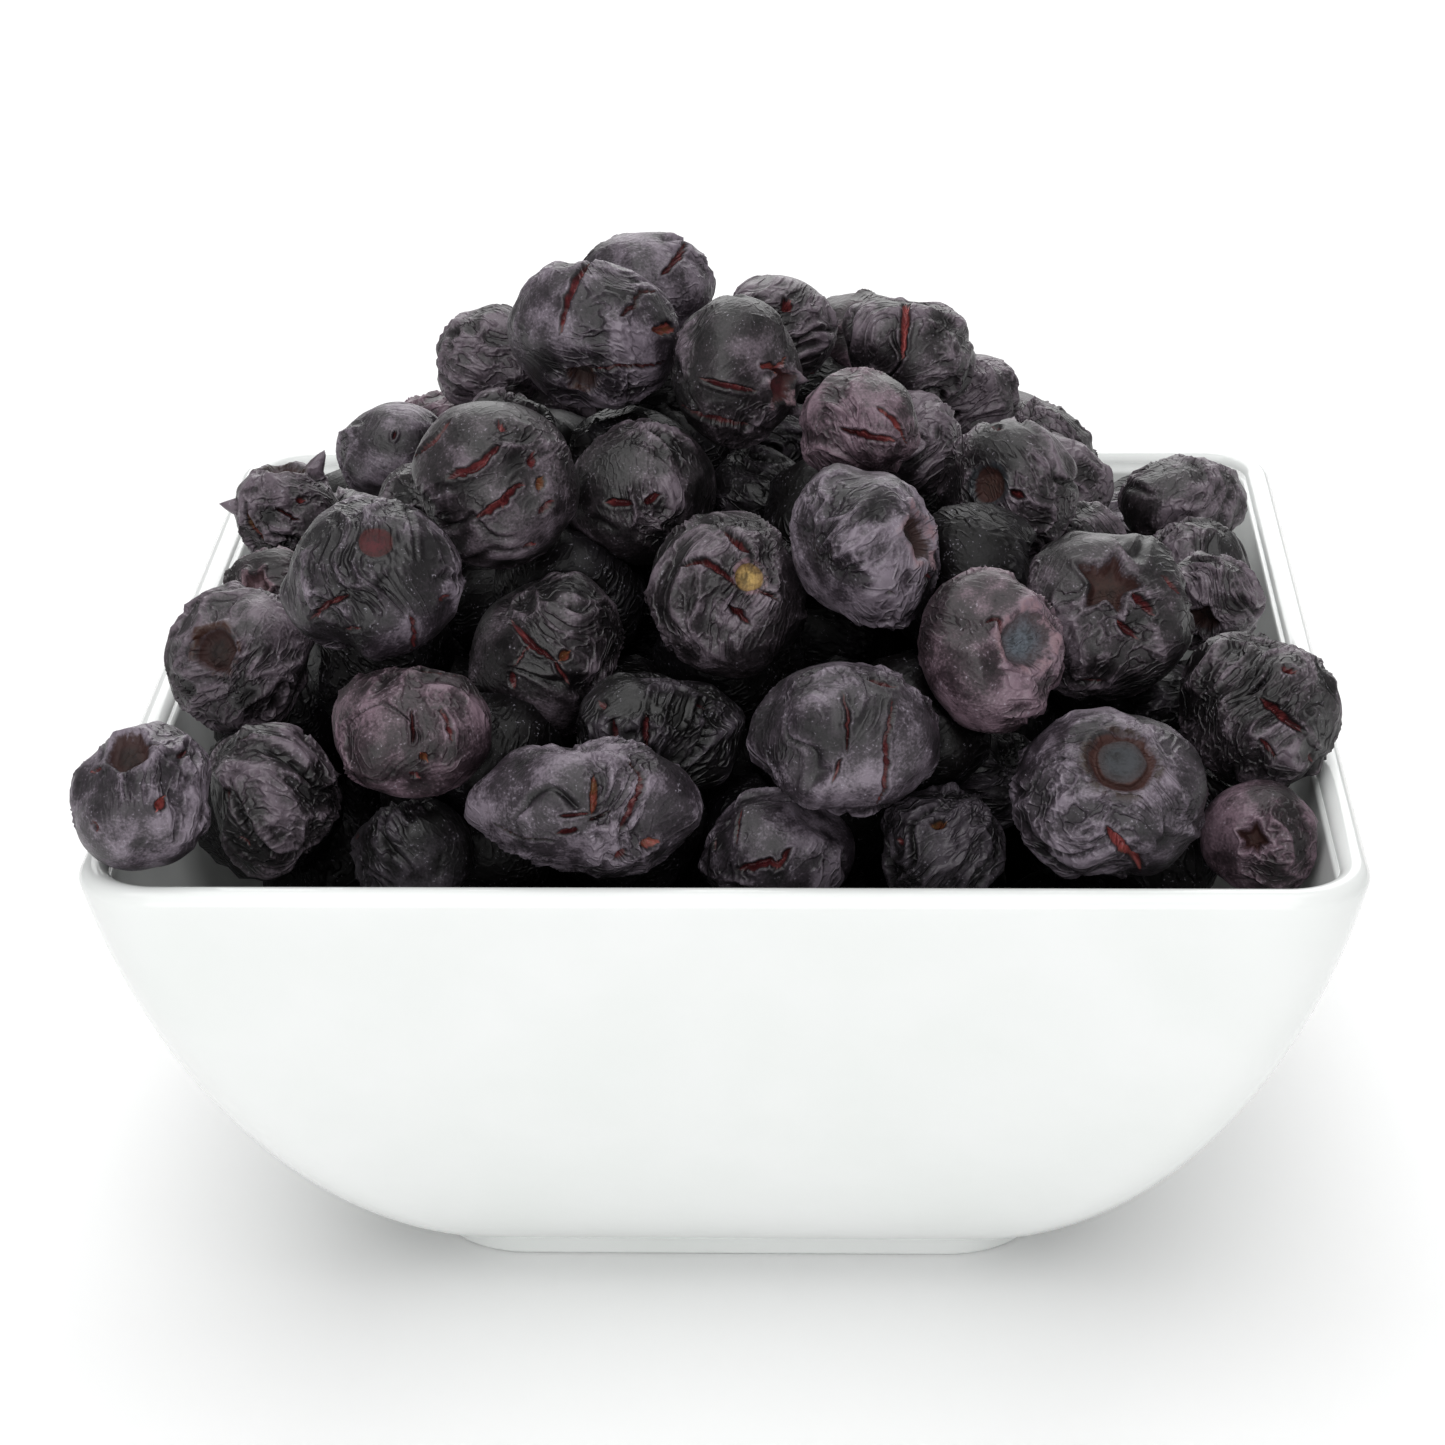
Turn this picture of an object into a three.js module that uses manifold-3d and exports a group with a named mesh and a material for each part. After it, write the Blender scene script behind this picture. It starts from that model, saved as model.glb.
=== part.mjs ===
// A small square porcelain bowl heaped with whole freeze-dried blueberries.
// Millimetres, +Z up. The origin is the centre of the foot's underside and the front faces -Y.

import * as THREE from 'three';
import { mergeVertices } from 'three/addons/utils/BufferGeometryUtils.js';
import Module from 'manifold-3d';

const wasm = await Module();
wasm.setup();

// Driving dimensions of the bowl
const RIM_WIDTH = 95;
const BOWL_HEIGHT = 43.6;
const RIM_CORNER = 6.3;
const FOOT_WIDTH = 50;
const FOOT_HEIGHT = 1.9;
const FOOT_CORNER = 7.9;
const FOOT_RING = 3.2;
const FOOT_RECESS = 1.2;
const FOOT_BEVEL = 0.4;
const WALL_START = 0.3;
const LIP_THICKNESS = 2.3;
const WALL_THICKNESS = 3.0;
const FLOOR_THICKNESS = 3.2;

// Room left between two pieces that touch, and between a berry and the glaze
const CONTACT_GAP = 0.3;
const BOWL_GAP = 0.45;

// Berries with their middles further apart than this can't touch. Those with less than the
// second between their skins are fitted to each other.
const BERRY_SPAN = 18;
const FITTED_WITHIN = 1.3;

// Surface of a dried berry: how far its lumps stand out, and the size of its crown
const LUMP_HEIGHT = 0.03;
const CROWN_RADIUS = 2.5;
const CROWN_LOBES = 5;
const CROWN_RISE = 0.3;
const CROWN_DEPTH = 0.9;
const PIT_SHARE = 0.6;
const SCAR_DEPTH = 0.25;
const DENT_COUNTS = [3, 4.2, 5.4];

// The berries on the front and the sides of the heap, top rows first.
// at: where the berry lies. half: half its width, height and length, the last along its crown's axis.
// crown: which way its crown faces. fine: berries whose crown shows have more facets.
const SHOWN_BERRIES = [
  { name: 'berry_peak_front', at: [-11.5, -2, 71], half: [7.3, 6.8, 6.4], crown: [-1, -9, -4], fine: true },
  { name: 'berry_peak_back', at: [-7.5, 9, 71], half: [6, 5.2, 5.6], crown: [-3, 9, 3] },
  { name: 'berry_peak_left', at: [-19, 8, 64], half: [5.4, 4.8, 5], crown: [-9, 5, 1] },
  { name: 'berry_peak_right', at: [0, -7, 70], half: [5.6, 6.5, 5.2], crown: [8, -6, -1], fine: true },
  { name: 'berry_top_middle', at: [4, 8, 67.5], half: [5, 4.8, 5], crown: [3, 9, 4] },
  { name: 'berry_top_right', at: [13, 4, 67], half: [5.6, 5.6, 6.6], crown: [8, 1, -5] },
  { name: 'berry_top_far_right', at: [17, 12, 62], half: [5, 4.8, 5], crown: [6, 8, 0] },
  { name: 'berry_pink', at: [10, -17, 69], half: [4.8, 4.6, 5.8], crown: [8, -6, 1], fine: true },
  { name: 'berry_behind_pink', at: [13.5, -7.5, 64.5], half: [5, 4.8, 4.8], crown: [2, 9, 3] },
  { name: 'berry_brown_disc', at: [21.5, -15, 62.5], half: [5.8, 6, 5.2], crown: [-4, -8, 4], fine: true },
  { name: 'berry_right_shoulder', at: [26.5, 3, 56.5], half: [5, 4.6, 4.6], crown: [5, 8, 3] },
  { name: 'berry_right_gap', at: [27.5, -8, 55], half: [4.8, 4.6, 4.8], crown: [8, 4, -5] },
  { name: 'berry_right_upper', at: [37.5, 10, 52.5], half: [5.6, 5, 4.3], crown: [1, -3, 10] },
  { name: 'berry_right_middle', at: [38, 0, 50], half: [5, 4.8, 4.4], crown: [8, 6, 1] },
  { name: 'berry_right_star', at: [38.5, -13, 52.5], half: [4.8, 4.6, 4.6], crown: [-4, -9, -1], fine: true },
  { name: 'berry_brown_star', at: [28.5, -25, 56.5], half: [7.6, 7.4, 6.4], crown: [1, -7, 7], fine: true },
  { name: 'berry_right_rim', at: [42.5, -28, 47.5], half: [6.6, 6.2, 6.6], crown: [5, 6, -7] },
  { name: 'berry_ring_crown', at: [29, -40, 48.5], half: [7.7, 7.1, 6.4], crown: [1, -6, 8], fine: true },
  { name: 'berry_front_right', at: [39.5, -38, 44], half: [4.6, 4.9, 4.6], crown: [-2, -9, 4], fine: true },
  { name: 'berry_grey_disc', at: [20, -36, 57], half: [5.8, 6.5, 5.4], crown: [6, -7, 5], fine: true },
  { name: 'berry_blue_egg', at: [10, -28.5, 63], half: [6, 7, 5.7], crown: [7, -3, 3], fine: true },
  { name: 'berry_stem_scar', at: [0.5, -26.5, 58.5], half: [6.5, 6.8, 6], crown: [-3, 7, -6] },
  { name: 'berry_front_oval', at: [9.5, -40, 52.5], half: [7.4, 5.8, 6.2], crown: [0, 4, -5] },
  { name: 'berry_wide_oval', at: [-11, -41.5, 48.5], half: [9.2, 5.5, 6.3], crown: [0, 6, -7] },
  { name: 'berry_front_low', at: [4, -39.5, 44], half: [6.3, 5.2, 4.8], crown: [0, 3, -9] },
  { name: 'berry_orange_patch', at: [16, -39.5, 43.5], half: [5.2, 4.8, 5], crown: [-3, 9, -1] },
  { name: 'berry_dark_fold', at: [-6, -31.5, 50], half: [5.2, 5.2, 7.1], crown: [-9, -3, 2] },
  { name: 'berry_left_cracked', at: [-13.5, -27.5, 53.5], half: [6.6, 6.3, 7.6], crown: [-3, 1, -9] },
  { name: 'berry_red_scar', at: [-26, -29, 61], half: [7.4, 6.6, 5.8], crown: [-1, 6, -8] },
  { name: 'berry_slashed', at: [-18, -20.5, 64.5], half: [6.7, 6.8, 7.1], crown: [5, 3, -8] },
  { name: 'berry_left_smooth', at: [-29, 8, 58], half: [5.2, 4.6, 5], crown: [-5, 8, 3] },
  { name: 'berry_upper_middle', at: [-8, -13.5, 62.5], half: [6.6, 6.3, 6], crown: [2, -1, -10] },
  { name: 'berry_shadow_right', at: [1.5, -5.5, 59], half: [4.8, 4.6, 4.6], crown: [3, 10, -1] },
  { name: 'berry_sepals', at: [-39, 8, 52], half: [5.1, 5, 4.9], crown: [0, 2, 10], fine: true },
  { name: 'berry_left_oval', at: [-38.5, -21, 51], half: [6.4, 6.1, 5.7], crown: [-3, -8, 5], fine: true },
  { name: 'berry_purple', at: [-24, -38, 52], half: [6.7, 5.6, 5.1], crown: [0, 4, -7] },
  { name: 'berry_ridged', at: [-33.5, -40, 48.5], half: [5.4, 5.1, 6.4], crown: [-2, 1, 10] },
  { name: 'berry_front_left', at: [-43, -42, 47], half: [5.4, 6.1, 5.8], crown: [-1, -4, 9], fine: true },
  { name: 'berry_low_left', at: [-24, -37.5, 42.5], half: [5.2, 4.6, 4.8], crown: [3, 5, -8] },
  { name: 'berry_gap_left', at: [-18, 0, 62.5], half: [4.8, 4.4, 4.6], crown: [-3, 9, -1] },
  { name: 'berry_gap_far_left', at: [-25, -7, 58], half: [4.8, 4.6, 4.6], crown: [-9, 3, -1] },
  { name: 'berry_torn_pale', at: [-38, -8, 51], half: [4.6, 4.4, 4.6], crown: [-3, -7, 6], fine: true },
  { name: 'berry_gap_low_right', at: [19.5, -27, 44], half: [5.2, 4.8, 5], crown: [2, 7, -7] },
  { name: 'berry_gap_right', at: [17, -13, 53.5], half: [5, 4.8, 4.8], crown: [8, 6, -2] },
  { name: 'berry_gap_star', at: [32.5, -21, 48], half: [5, 4.8, 4.8], crown: [7, 5, -5] },
  { name: 'berry_gap_top', at: [3.5, 4, 59.5], half: [4.8, 4.6, 4.6], crown: [0, 10, 1] },
];

// The berries on the back of the heap
const BACK_BERRIES = [
  { name: 'berry_back_top', at: [-1, 20, 66.5], half: [6.4, 6, 5.8], crown: [2, 6, 8], fine: true },
  { name: 'berry_back_top_left', at: [-16.5, 17.5, 64], half: [6, 5.6, 5.8], crown: [-6, 5, 6] },
  { name: 'berry_back_top_right', at: [12.5, 21.5, 63], half: [5.6, 5.4, 5.6], crown: [7, 6, -3] },
  { name: 'berry_back_middle', at: [-1.5, 31.5, 57.5], half: [6.6, 6.2, 6], crown: [-3, 9, 2], fine: true },
  { name: 'berry_back_middle_left', at: [-15.5, 29.5, 56.5], half: [5.8, 5.8, 6.4], crown: [-8, -2, 6] },
  { name: 'berry_back_middle_right', at: [13, 31, 55.5], half: [6, 5.6, 5.8], crown: [4, 3, -9] },
  { name: 'berry_back_left', at: [-29.5, 23, 56], half: [6.2, 6, 5.6], crown: [-7, 7, 3], fine: true },
  { name: 'berry_back_right', at: [27, 22.5, 56], half: [6, 5.8, 6], crown: [8, 4, 5] },
  { name: 'berry_back_rim_left', at: [-38, 24, 46.5], half: [5.6, 5.4, 5.6], crown: [-5, -7, 5] },
  { name: 'berry_back_rim_right', at: [37.5, 25, 45], half: [5.8, 5.6, 5.4], crown: [6, 7, 4] },
];

// A row of berries pressed together along the back rim, built as one piece
const ROW_COUNT = 5;
const ROW_SPACING = 11.4;
const ROW_PLACE = { y: 38.5, z: 46 };
const ROW_HALF = [6.9, 6.6, 6.7];
const ROW_TURN = 2.1;

// The berries out of sight under the heap, with few facets each.
// across: how many berries a layer has each way. reach: how far out its outermost middles lie.
// A seat is a hidden berry right under one that shows; the two press into each other a little.
const HIDDEN_LAYERS = [
  { z: 12.6, across: 4, reach: 22 },
  { z: 20.8, across: 4, reach: 27 },
  { z: 30.2, across: 5, reach: 32 },
  { z: 39.2, across: 6, reach: 36.5 },
  { z: 48, across: 5, reach: 28 },
  { z: 56.6, across: 4, reach: 19 },
];
const HIDDEN_RADIUS = 8;
const SEAT_PRESS = 2.2;
const SEAT_CLEARANCE = 7;
const LAYER_CLEARANCE = 9.6;

// Facets round a berry and from its crown to its stem end
const FINE_FACETS = { round: 15, along: 5 };
const PLAIN_FACETS = { round: 10, along: 5 };
const HIDDEN_FACETS = { round: 6, along: 2 };
const CORNER_FACETS = 5;
const WALL_FACETS = 8;
const LIP_FACETS = 5;

const PORCELAIN = new THREE.MeshStandardMaterial({ color: '#f1f3f3', roughness: 0.12, metalness: 0 });
const BERRY_SKIN = { roughness: 0.55, metalness: 0 };
const SKIN_COLOURS = ['#3c3b43', '#35343a', '#45434e', '#3f3a40'];

// One seeded run of numbers from 0 to 1, the same every time: each is the last times a
// multiplier, less whole multiples of a prime
const DRAW_MULTIPLIER = 16807;
const DRAW_PRIME = 2 ** 31 - 1;

function seededDraw(seed) {
  let state = seed;
  return () => {
    state = (state * DRAW_MULTIPLIER) % DRAW_PRIME;
    return state / DRAW_PRIME;
  };
}

// A closed geometry from its corner points and its triangles
function closedGeometry(points, triangles) {
  const geometry = new THREE.BufferGeometry();
  geometry.setAttribute('position', new THREE.Float32BufferAttribute(points.flatMap((p) => p.toArray()), 3));
  geometry.setIndex(triangles.flat());
  geometry.computeVertexNormals();
  return geometry;
}

// A skin drawn through loops of equal length and closed by a fan to a pole at both ends
function skinThroughLoops(startPole, loops, endPole) {
  const count = loops[0].length;
  const points = [startPole, ...loops.flat(), endPole];
  const triangles = [];
  for (let i = 0; i < count; i++) {
    const next = (i + 1) % count;
    const last = 1 + (loops.length - 1) * count;
    triangles.push([0, 1 + next, 1 + i]);
    triangles.push([points.length - 1, last + i, last + next]);
    for (let loop = 0; loop < loops.length - 1; loop++) {
      const low = 1 + loop * count;
      const high = low + count;
      triangles.push([low + i, low + next, high + next]);
      triangles.push([low + i, high + next, high + i]);
    }
  }
  return closedGeometry(points, triangles);
}

// A square with rounded corners at one height, counter-clockwise from above
function squareLoop({ halfWidth, corner, z }) {
  const loop = [];
  for (let quarter = 0; quarter < 4; quarter++) {
    const middle = new THREE.Vector2(halfWidth - corner, halfWidth - corner);
    middle.rotateAround(new THREE.Vector2(), quarter * Math.PI / 2);
    for (let step = 0; step <= CORNER_FACETS; step++) {
      const angle = (quarter + step / CORNER_FACETS) * Math.PI / 2;
      const x = middle.x + corner * Math.cos(angle);
      const y = middle.y + corner * Math.sin(angle);
      loop.push(new THREE.Vector3(x, y, z));
    }
  }
  return loop;
}

// The wall's outside sweeps out from the foot and up to the lip
const LIP_RADIUS = LIP_THICKNESS / 2;
const LIP_HEIGHT = BOWL_HEIGHT - LIP_RADIUS;
const FOOT_FLARE = new THREE.Vector2(32.7, 4.6);
const WALL_BELLY = new THREE.Vector2(43.7, 21.6);
const wallCurve = new THREE.CubicBezierCurve(
  new THREE.Vector2(FOOT_WIDTH / 2 + WALL_START, FOOT_HEIGHT),
  FOOT_FLARE,
  WALL_BELLY,
  new THREE.Vector2(RIM_WIDTH / 2, LIP_HEIGHT),
);

function cornerAt(z) {
  return THREE.MathUtils.mapLinear(z, 0, BOWL_HEIGHT, FOOT_CORNER, RIM_CORNER);
}

// The wall's two faces: the outside from the foot up, and the inside from the lip down
function wallFaces() {
  const outside = [];
  const inside = [];
  for (let step = 0; step <= WALL_FACETS; step++) {
    const share = step / WALL_FACETS;
    const point = wallCurve.getPoint(share);
    const along = wallCurve.getTangent(share);
    const thickness = THREE.MathUtils.lerp(WALL_THICKNESS, LIP_THICKNESS, share);
    outside.push({ halfWidth: point.x, corner: cornerAt(point.y), z: point.y });
    inside.unshift({
      halfWidth: point.x - along.y * thickness,
      corner: cornerAt(point.y) - thickness,
      z: point.y + along.x * thickness,
    });
  }
  return { outside, inside };
}

const wall = wallFaces();
const floorHeight = FOOT_RECESS + FLOOR_THICKNESS;

// The bowl is one piece: a foot ring with a sunk underside, a curved wall and a rounded lip
function bowlGeometry() {
  const half = FOOT_WIDTH / 2;
  const foot = [
    { halfWidth: half - FOOT_RING - FOOT_BEVEL, corner: FOOT_CORNER - FOOT_RING, z: FOOT_RECESS },
    { halfWidth: half - FOOT_RING, corner: FOOT_CORNER - FOOT_RING, z: 0 },
    { halfWidth: half - FOOT_BEVEL, corner: FOOT_CORNER, z: 0 },
    { halfWidth: half, corner: FOOT_CORNER, z: FOOT_BEVEL },
    { halfWidth: half, corner: FOOT_CORNER, z: FOOT_HEIGHT },
  ];
  const lip = [];
  for (let facet = 1; facet < LIP_FACETS; facet++) {
    const angle = facet * Math.PI / LIP_FACETS;
    const inward = LIP_RADIUS * (1 - Math.cos(angle));
    lip.push({
      halfWidth: RIM_WIDTH / 2 - inward,
      corner: RIM_CORNER - inward,
      z: LIP_HEIGHT + LIP_RADIUS * Math.sin(angle),
    });
  }
  const loops = [...foot, ...wall.outside, ...lip, ...wall.inside].map(squareLoop);
  return skinThroughLoops(new THREE.Vector3(0, 0, FOOT_RECESS), loops, new THREE.Vector3(0, 0, floorHeight));
}

// How far a point lies inside the glaze of the cavity, measured level; negative is in the wall
function cavityRoom(point) {
  const faces = wall.inside;
  let above = 0;
  while (above < faces.length - 2 && faces[above + 1].z > point.z) {
    above++;
  }
  const share = THREE.MathUtils.clamp(
    THREE.MathUtils.inverseLerp(faces[above].z, faces[above + 1].z, point.z), 0, 1);
  const halfWidth = THREE.MathUtils.lerp(faces[above].halfWidth, faces[above + 1].halfWidth, share);
  const corner = THREE.MathUtils.lerp(faces[above].corner, faces[above + 1].corner, share);
  const x = Math.abs(point.x) - (halfWidth - corner);
  const y = Math.abs(point.y) - (halfWidth - corner);
  const outside = Math.hypot(Math.max(x, 0), Math.max(y, 0)) + Math.min(Math.max(x, y), 0) - corner;
  return Math.min(-outside, point.z - floorHeight);
}

const lipLoop = squareLoop({
  halfWidth: RIM_WIDTH / 2 - LIP_RADIUS,
  corner: RIM_CORNER - LIP_RADIUS,
  z: LIP_HEIGHT,
});

// Berries on the front lean away from the viewer, those on the back towards the middle of the heap
const LINE_OF_SIGHT = new THREE.Vector3(0, 0.92, -0.4).normalize();
const HEAP_CORE = new THREE.Vector3(0, 0, 25);
const BACK_FROM = 14;

// A berry as it lies: its middle, its half sizes and its own axes, the third towards the crown
function lyingBerry({ name, at, half, crown, fine }, index) {
  const length = new THREE.Vector3(...crown).normalize();
  const width = new THREE.Vector3(-length.y, length.x, 0).normalize();
  const height = length.clone().cross(width);
  const middle = new THREE.Vector3(...at);
  const leans = middle.y < BACK_FROM ? LINE_OF_SIGHT : HEAP_CORE.clone().sub(middle).normalize();
  return {
    name, half, middle, seen: middle.clone(), leans, axes: [width, height, length], seed: index + 1,
    facets: fine ? FINE_FACETS : PLAIN_FACETS, limits: [],
  };
}

// The point of a berry's outline that lies furthest in a direction, from its middle
function furthestPoint(berry, direction) {
  const point = new THREE.Vector3();
  let squared = 0;
  berry.axes.forEach((axis, i) => {
    const share = axis.dot(direction) * berry.half[i];
    point.addScaledVector(axis, share * berry.half[i]);
    squared += share * share;
  });
  return point.divideScalar(Math.sqrt(squared));
}

// The widest gap between two berries over all directions, found by turning the direction step by step
const GAP_TURNS = 12;
const TURN_PER_MM = 0.05;

function gapBetween(first, second) {
  const between = second.middle.clone().sub(first.middle);
  const direction = between.clone().normalize();
  for (let turn = 0; turn < GAP_TURNS; turn++) {
    const pull = between.clone().sub(furthestPoint(first, direction)).sub(furthestPoint(second, direction));
    direction.addScaledVector(pull, TURN_PER_MM).normalize();
  }
  const reach = furthestPoint(first, direction).add(furthestPoint(second, direction));
  return { direction, gap: between.dot(direction) - reach.dot(direction) };
}

// The direction from the nearest point of each stretch of the lip to a berry, and the gap there
function gapsToLip(berry) {
  return lipLoop.map((start, i) => {
    const stretch = new THREE.Line3(start, lipLoop[(i + 1) % lipLoop.length]);
    const nearest = stretch.closestPointToPoint(berry.middle, true, new THREE.Vector3());
    const direction = berry.middle.clone().sub(nearest);
    const distance = direction.length();
    direction.normalize();
    const reach = furthestPoint(berry, direction.clone().negate()).dot(direction);
    return { nearest, direction, gap: distance + reach - LIP_RADIUS };
  });
}

// Berries are nudged apart until none presses into another. Each leans on the heap behind it
// and is drawn back, across that direction only, to the line on which it is seen.
const SETTLING_ROUNDS = 160;
const PULL_BACK = 0.04;
const LEAN_STEP = 0.05;
const LEAN_LIMIT = 5;

function settle(berries, standing) {
  for (let round = 0; round < SETTLING_ROUNDS; round++) {
    for (let i = 0; i < berries.length; i++) {
      const berry = berries[i];
      for (const other of [...berries.slice(i + 1), ...standing]) {
        if (berry.middle.distanceTo(other.middle) > BERRY_SPAN) continue;
        const { direction, gap } = gapBetween(berry, other);
        if (gap >= CONTACT_GAP) continue;
        const stands = standing.includes(other);
        const push = (CONTACT_GAP - gap) / (stands ? 1 : 2);
        berry.middle.addScaledVector(direction, -push);
        if (!stands) other.middle.addScaledVector(direction, push);
      }
      for (const { direction, gap } of gapsToLip(berry)) {
        if (gap < CONTACT_GAP) berry.middle.addScaledVector(direction, CONTACT_GAP - gap);
      }
      const strayed = berry.middle.clone().sub(berry.seen);
      const leaned = strayed.dot(berry.leans);
      strayed.addScaledVector(berry.leans, -leaned);
      berry.middle.addScaledVector(strayed, -PULL_BACK);
      if (leaned < LEAN_LIMIT) berry.middle.addScaledVector(berry.leans, LEAN_STEP);
    }
  }
}

// Where two berries touch, each keeps to its own side of a flat limit between them
function limitPair(first, second) {
  const { direction, gap } = gapBetween(first, second);
  if (gap > FITTED_WITHIN) return;
  const edge = first.middle.dot(direction) + furthestPoint(first, direction).dot(direction);
  const halfway = edge + gap / 2;
  first.limits.push({ normal: direction, most: halfway - CONTACT_GAP / 2 });
  second.limits.push({ normal: direction.clone().negate(), most: -halfway - CONTACT_GAP / 2 });
}

function limitAtLip(berry) {
  for (const { nearest, direction, gap } of gapsToLip(berry)) {
    if (gap > FITTED_WITHIN) continue;
    const normal = direction.clone().negate();
    berry.limits.push({ normal, most: nearest.dot(normal) - LIP_RADIUS - CONTACT_GAP });
  }
}

// A point of the skin is drawn in towards the berry's middle until it clears its neighbours and the bowl
const DRAW_IN_STEP = 0.01;
const LEAST_SHARE = 0.3;

function drawnIn(berry, point) {
  const arm = point.clone().sub(berry.middle);
  let share = 1;
  for (const { normal, most } of berry.limits) {
    const outward = arm.dot(normal);
    const room = most - berry.middle.dot(normal);
    if (outward * share > room) share = room / outward;
  }
  const clear = (scale) => {
    const moved = berry.middle.clone().addScaledVector(arm, scale);
    return moved.z > LIP_HEIGHT || cavityRoom(moved) > BOWL_GAP;
  };
  while (!clear(share) && share > LEAST_SHARE) share -= DRAW_IN_STEP;
  return berry.middle.clone().addScaledVector(arm, share);
}

// Dents of a dried berry: slow waves across its skin, from 0 on its full outline to 1 at their deepest
function dentWaves(seed) {
  const draw = seededDraw(seed);
  const waves = DENT_COUNTS.map((count) => {
    const towards = new THREE.Vector3(draw() - 0.5, draw() - 0.5, draw() - 0.5).normalize();
    return { count, towards, start: draw() * 2 * Math.PI };
  });
  return (direction) => {
    let sum = 0;
    for (const { count, towards, start } of waves) {
      sum += Math.sin(count * direction.dot(towards) + start);
    }
    return (1 - sum / waves.length) / 2;
  };
}

// A berry is an ellipsoid with dents, a five-lobed crown round a pit at one end and a stem scar at the
// other. Its corners stand out so far that the facets between them lie on the outline on average.
function berryGeometry(berry) {
  const { round, along } = berry.facets;
  const swell = 1 + (Math.PI / round) ** 2 / 3;
  const dents = dentWaves(berry.seed);
  const skinPoint = (polar, turn, rise) => {
    const local = new THREE.Vector3().setFromSphericalCoords(1, polar, 0);
    const direction = new THREE.Vector3(local.z * Math.cos(turn), local.z * Math.sin(turn), local.y);
    const reach = 1 / Math.hypot(...direction.toArray().map((part, i) => part / berry.half[i]));
    const length = reach * swell * (1 - 2 * LUMP_HEIGHT * dents(direction)) + rise;
    const point = berry.middle.clone();
    berry.axes.forEach((axis, i) => point.addScaledVector(axis, direction.getComponent(i) * length));
    return drawnIn(berry, point);
  };
  const loopAt = (polar, riseAt) => {
    const turns = Array.from({ length: round }, (_, i) => ((i + 0.5) / round) * 2 * Math.PI);
    return turns.map((turn) => skinPoint(polar, turn, riseAt(turn)));
  };
  const level = () => 0;
  const loops = [];
  let firstPolar = 0;
  let crownPit = 0;
  if (berry.facets === FINE_FACETS) {
    const rimPolar = Math.atan(CROWN_RADIUS / berry.half[2]);
    crownPit = -CROWN_DEPTH;
    firstPolar = rimPolar;
    loops.push(loopAt(rimPolar * PIT_SHARE, () => -CROWN_DEPTH));
    loops.push(loopAt(rimPolar, (turn) => CROWN_RISE * Math.cos(CROWN_LOBES * turn)));
  }
  for (let step = 1; step <= along; step++) {
    loops.push(loopAt(THREE.MathUtils.lerp(firstPolar, Math.PI, step / (along + 1)), level));
  }
  loops.reverse();
  return skinThroughLoops(skinPoint(Math.PI, 0, -SCAR_DEPTH), loops, skinPoint(0, 0, crownPit));
}

// Berries fused into one piece; what the joining cuts loose or seals in is left out
function fusedGeometry(berries) {
  const solids = berries.map((berry) => {
    const geometry = berryGeometry(berry);
    geometry.deleteAttribute('normal');
    const merged = mergeVertices(geometry);
    return new wasm.Manifold(new wasm.Mesh({
      numProp: 3,
      vertProperties: new Float32Array(merged.attributes.position.array),
      triVerts: new Uint32Array(merged.index.array),
    }));
  });
  const joined = wasm.Manifold.union(solids);
  const parts = joined.decompose().sort((a, b) => b.volume() - a.volume());
  const mesh = parts[0].getMesh();
  const points = [];
  for (let i = 0; i < mesh.vertProperties.length; i += mesh.numProp) {
    points.push(new THREE.Vector3(...mesh.vertProperties.slice(i, i + 3)));
  }
  const triangles = [];
  for (let i = 0; i < mesh.triVerts.length; i += 3) {
    triangles.push([...mesh.triVerts.slice(i, i + 3)]);
  }
  return closedGeometry(points, triangles);
}

// The row along the back rim, each berry turned a little from the last
function rowBerries(firstSeed) {
  return Array.from({ length: ROW_COUNT }, (_, i) => lyingBerry({
    name: 'berries_back_row',
    at: [(i - (ROW_COUNT - 1) / 2) * ROW_SPACING, ROW_PLACE.y, ROW_PLACE.z],
    half: ROW_HALF,
    crown: [Math.cos(i * ROW_TURN), 2, 1 + Math.sin(i * ROW_TURN)],
  }, firstSeed + i));
}

// A hidden berry, with few facets, in the front or the back half
function hiddenBerry(middle, index) {
  const berry = lyingBerry({
    name: middle.y < 0 ? 'berries_under_front' : 'berries_under_back',
    at: middle.toArray(),
    half: [HIDDEN_RADIUS, HIDDEN_RADIUS, HIDDEN_RADIUS],
    crown: [2 * Math.sin(index), 2 * Math.cos(index), 1],
  }, index);
  berry.facets = HIDDEN_FACETS;
  return berry;
}

// Hidden berries: layers spread evenly over what room the cavity or the heap has at their height,
// and then, under each berry that nothing carries yet, one more on the way to the heap's core
function hiddenBerries(firstSeed, shown) {
  const berries = [];
  const addWhereFree = (middle, clearance) => {
    const inCavity = middle.z > LIP_HEIGHT || cavityRoom(middle) > HIDDEN_RADIUS / 2;
    const isFree = shown.every((berry) => berry.middle.distanceTo(middle) > clearance);
    if (inCavity && isFree) berries.push(hiddenBerry(middle, firstSeed + berries.length));
  };
  for (const { z, across, reach } of HIDDEN_LAYERS) {
    for (let i = 0; i < across * across; i++) {
      const x = THREE.MathUtils.lerp(-reach, reach, (i % across) / (across - 1));
      const y = THREE.MathUtils.lerp(-reach, reach, Math.floor(i / across) / (across - 1));
      addWhereFree(new THREE.Vector3(x, y, z), LAYER_CLEARANCE);
    }
  }
  for (const berry of shown) {
    const near = berries.filter((other) => other.middle.distanceTo(berry.middle) < BERRY_SPAN);
    if (near.some((other) => gapBetween(berry, other).gap < -SEAT_PRESS)) continue;
    const inward = HEAP_CORE.clone().sub(berry.middle).normalize();
    const reach = furthestPoint(berry, inward).dot(inward) + HIDDEN_RADIUS - SEAT_PRESS;
    addWhereFree(berry.middle.clone().addScaledVector(inward, reach), SEAT_CLEARANCE);
  }
  return berries;
}

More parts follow.
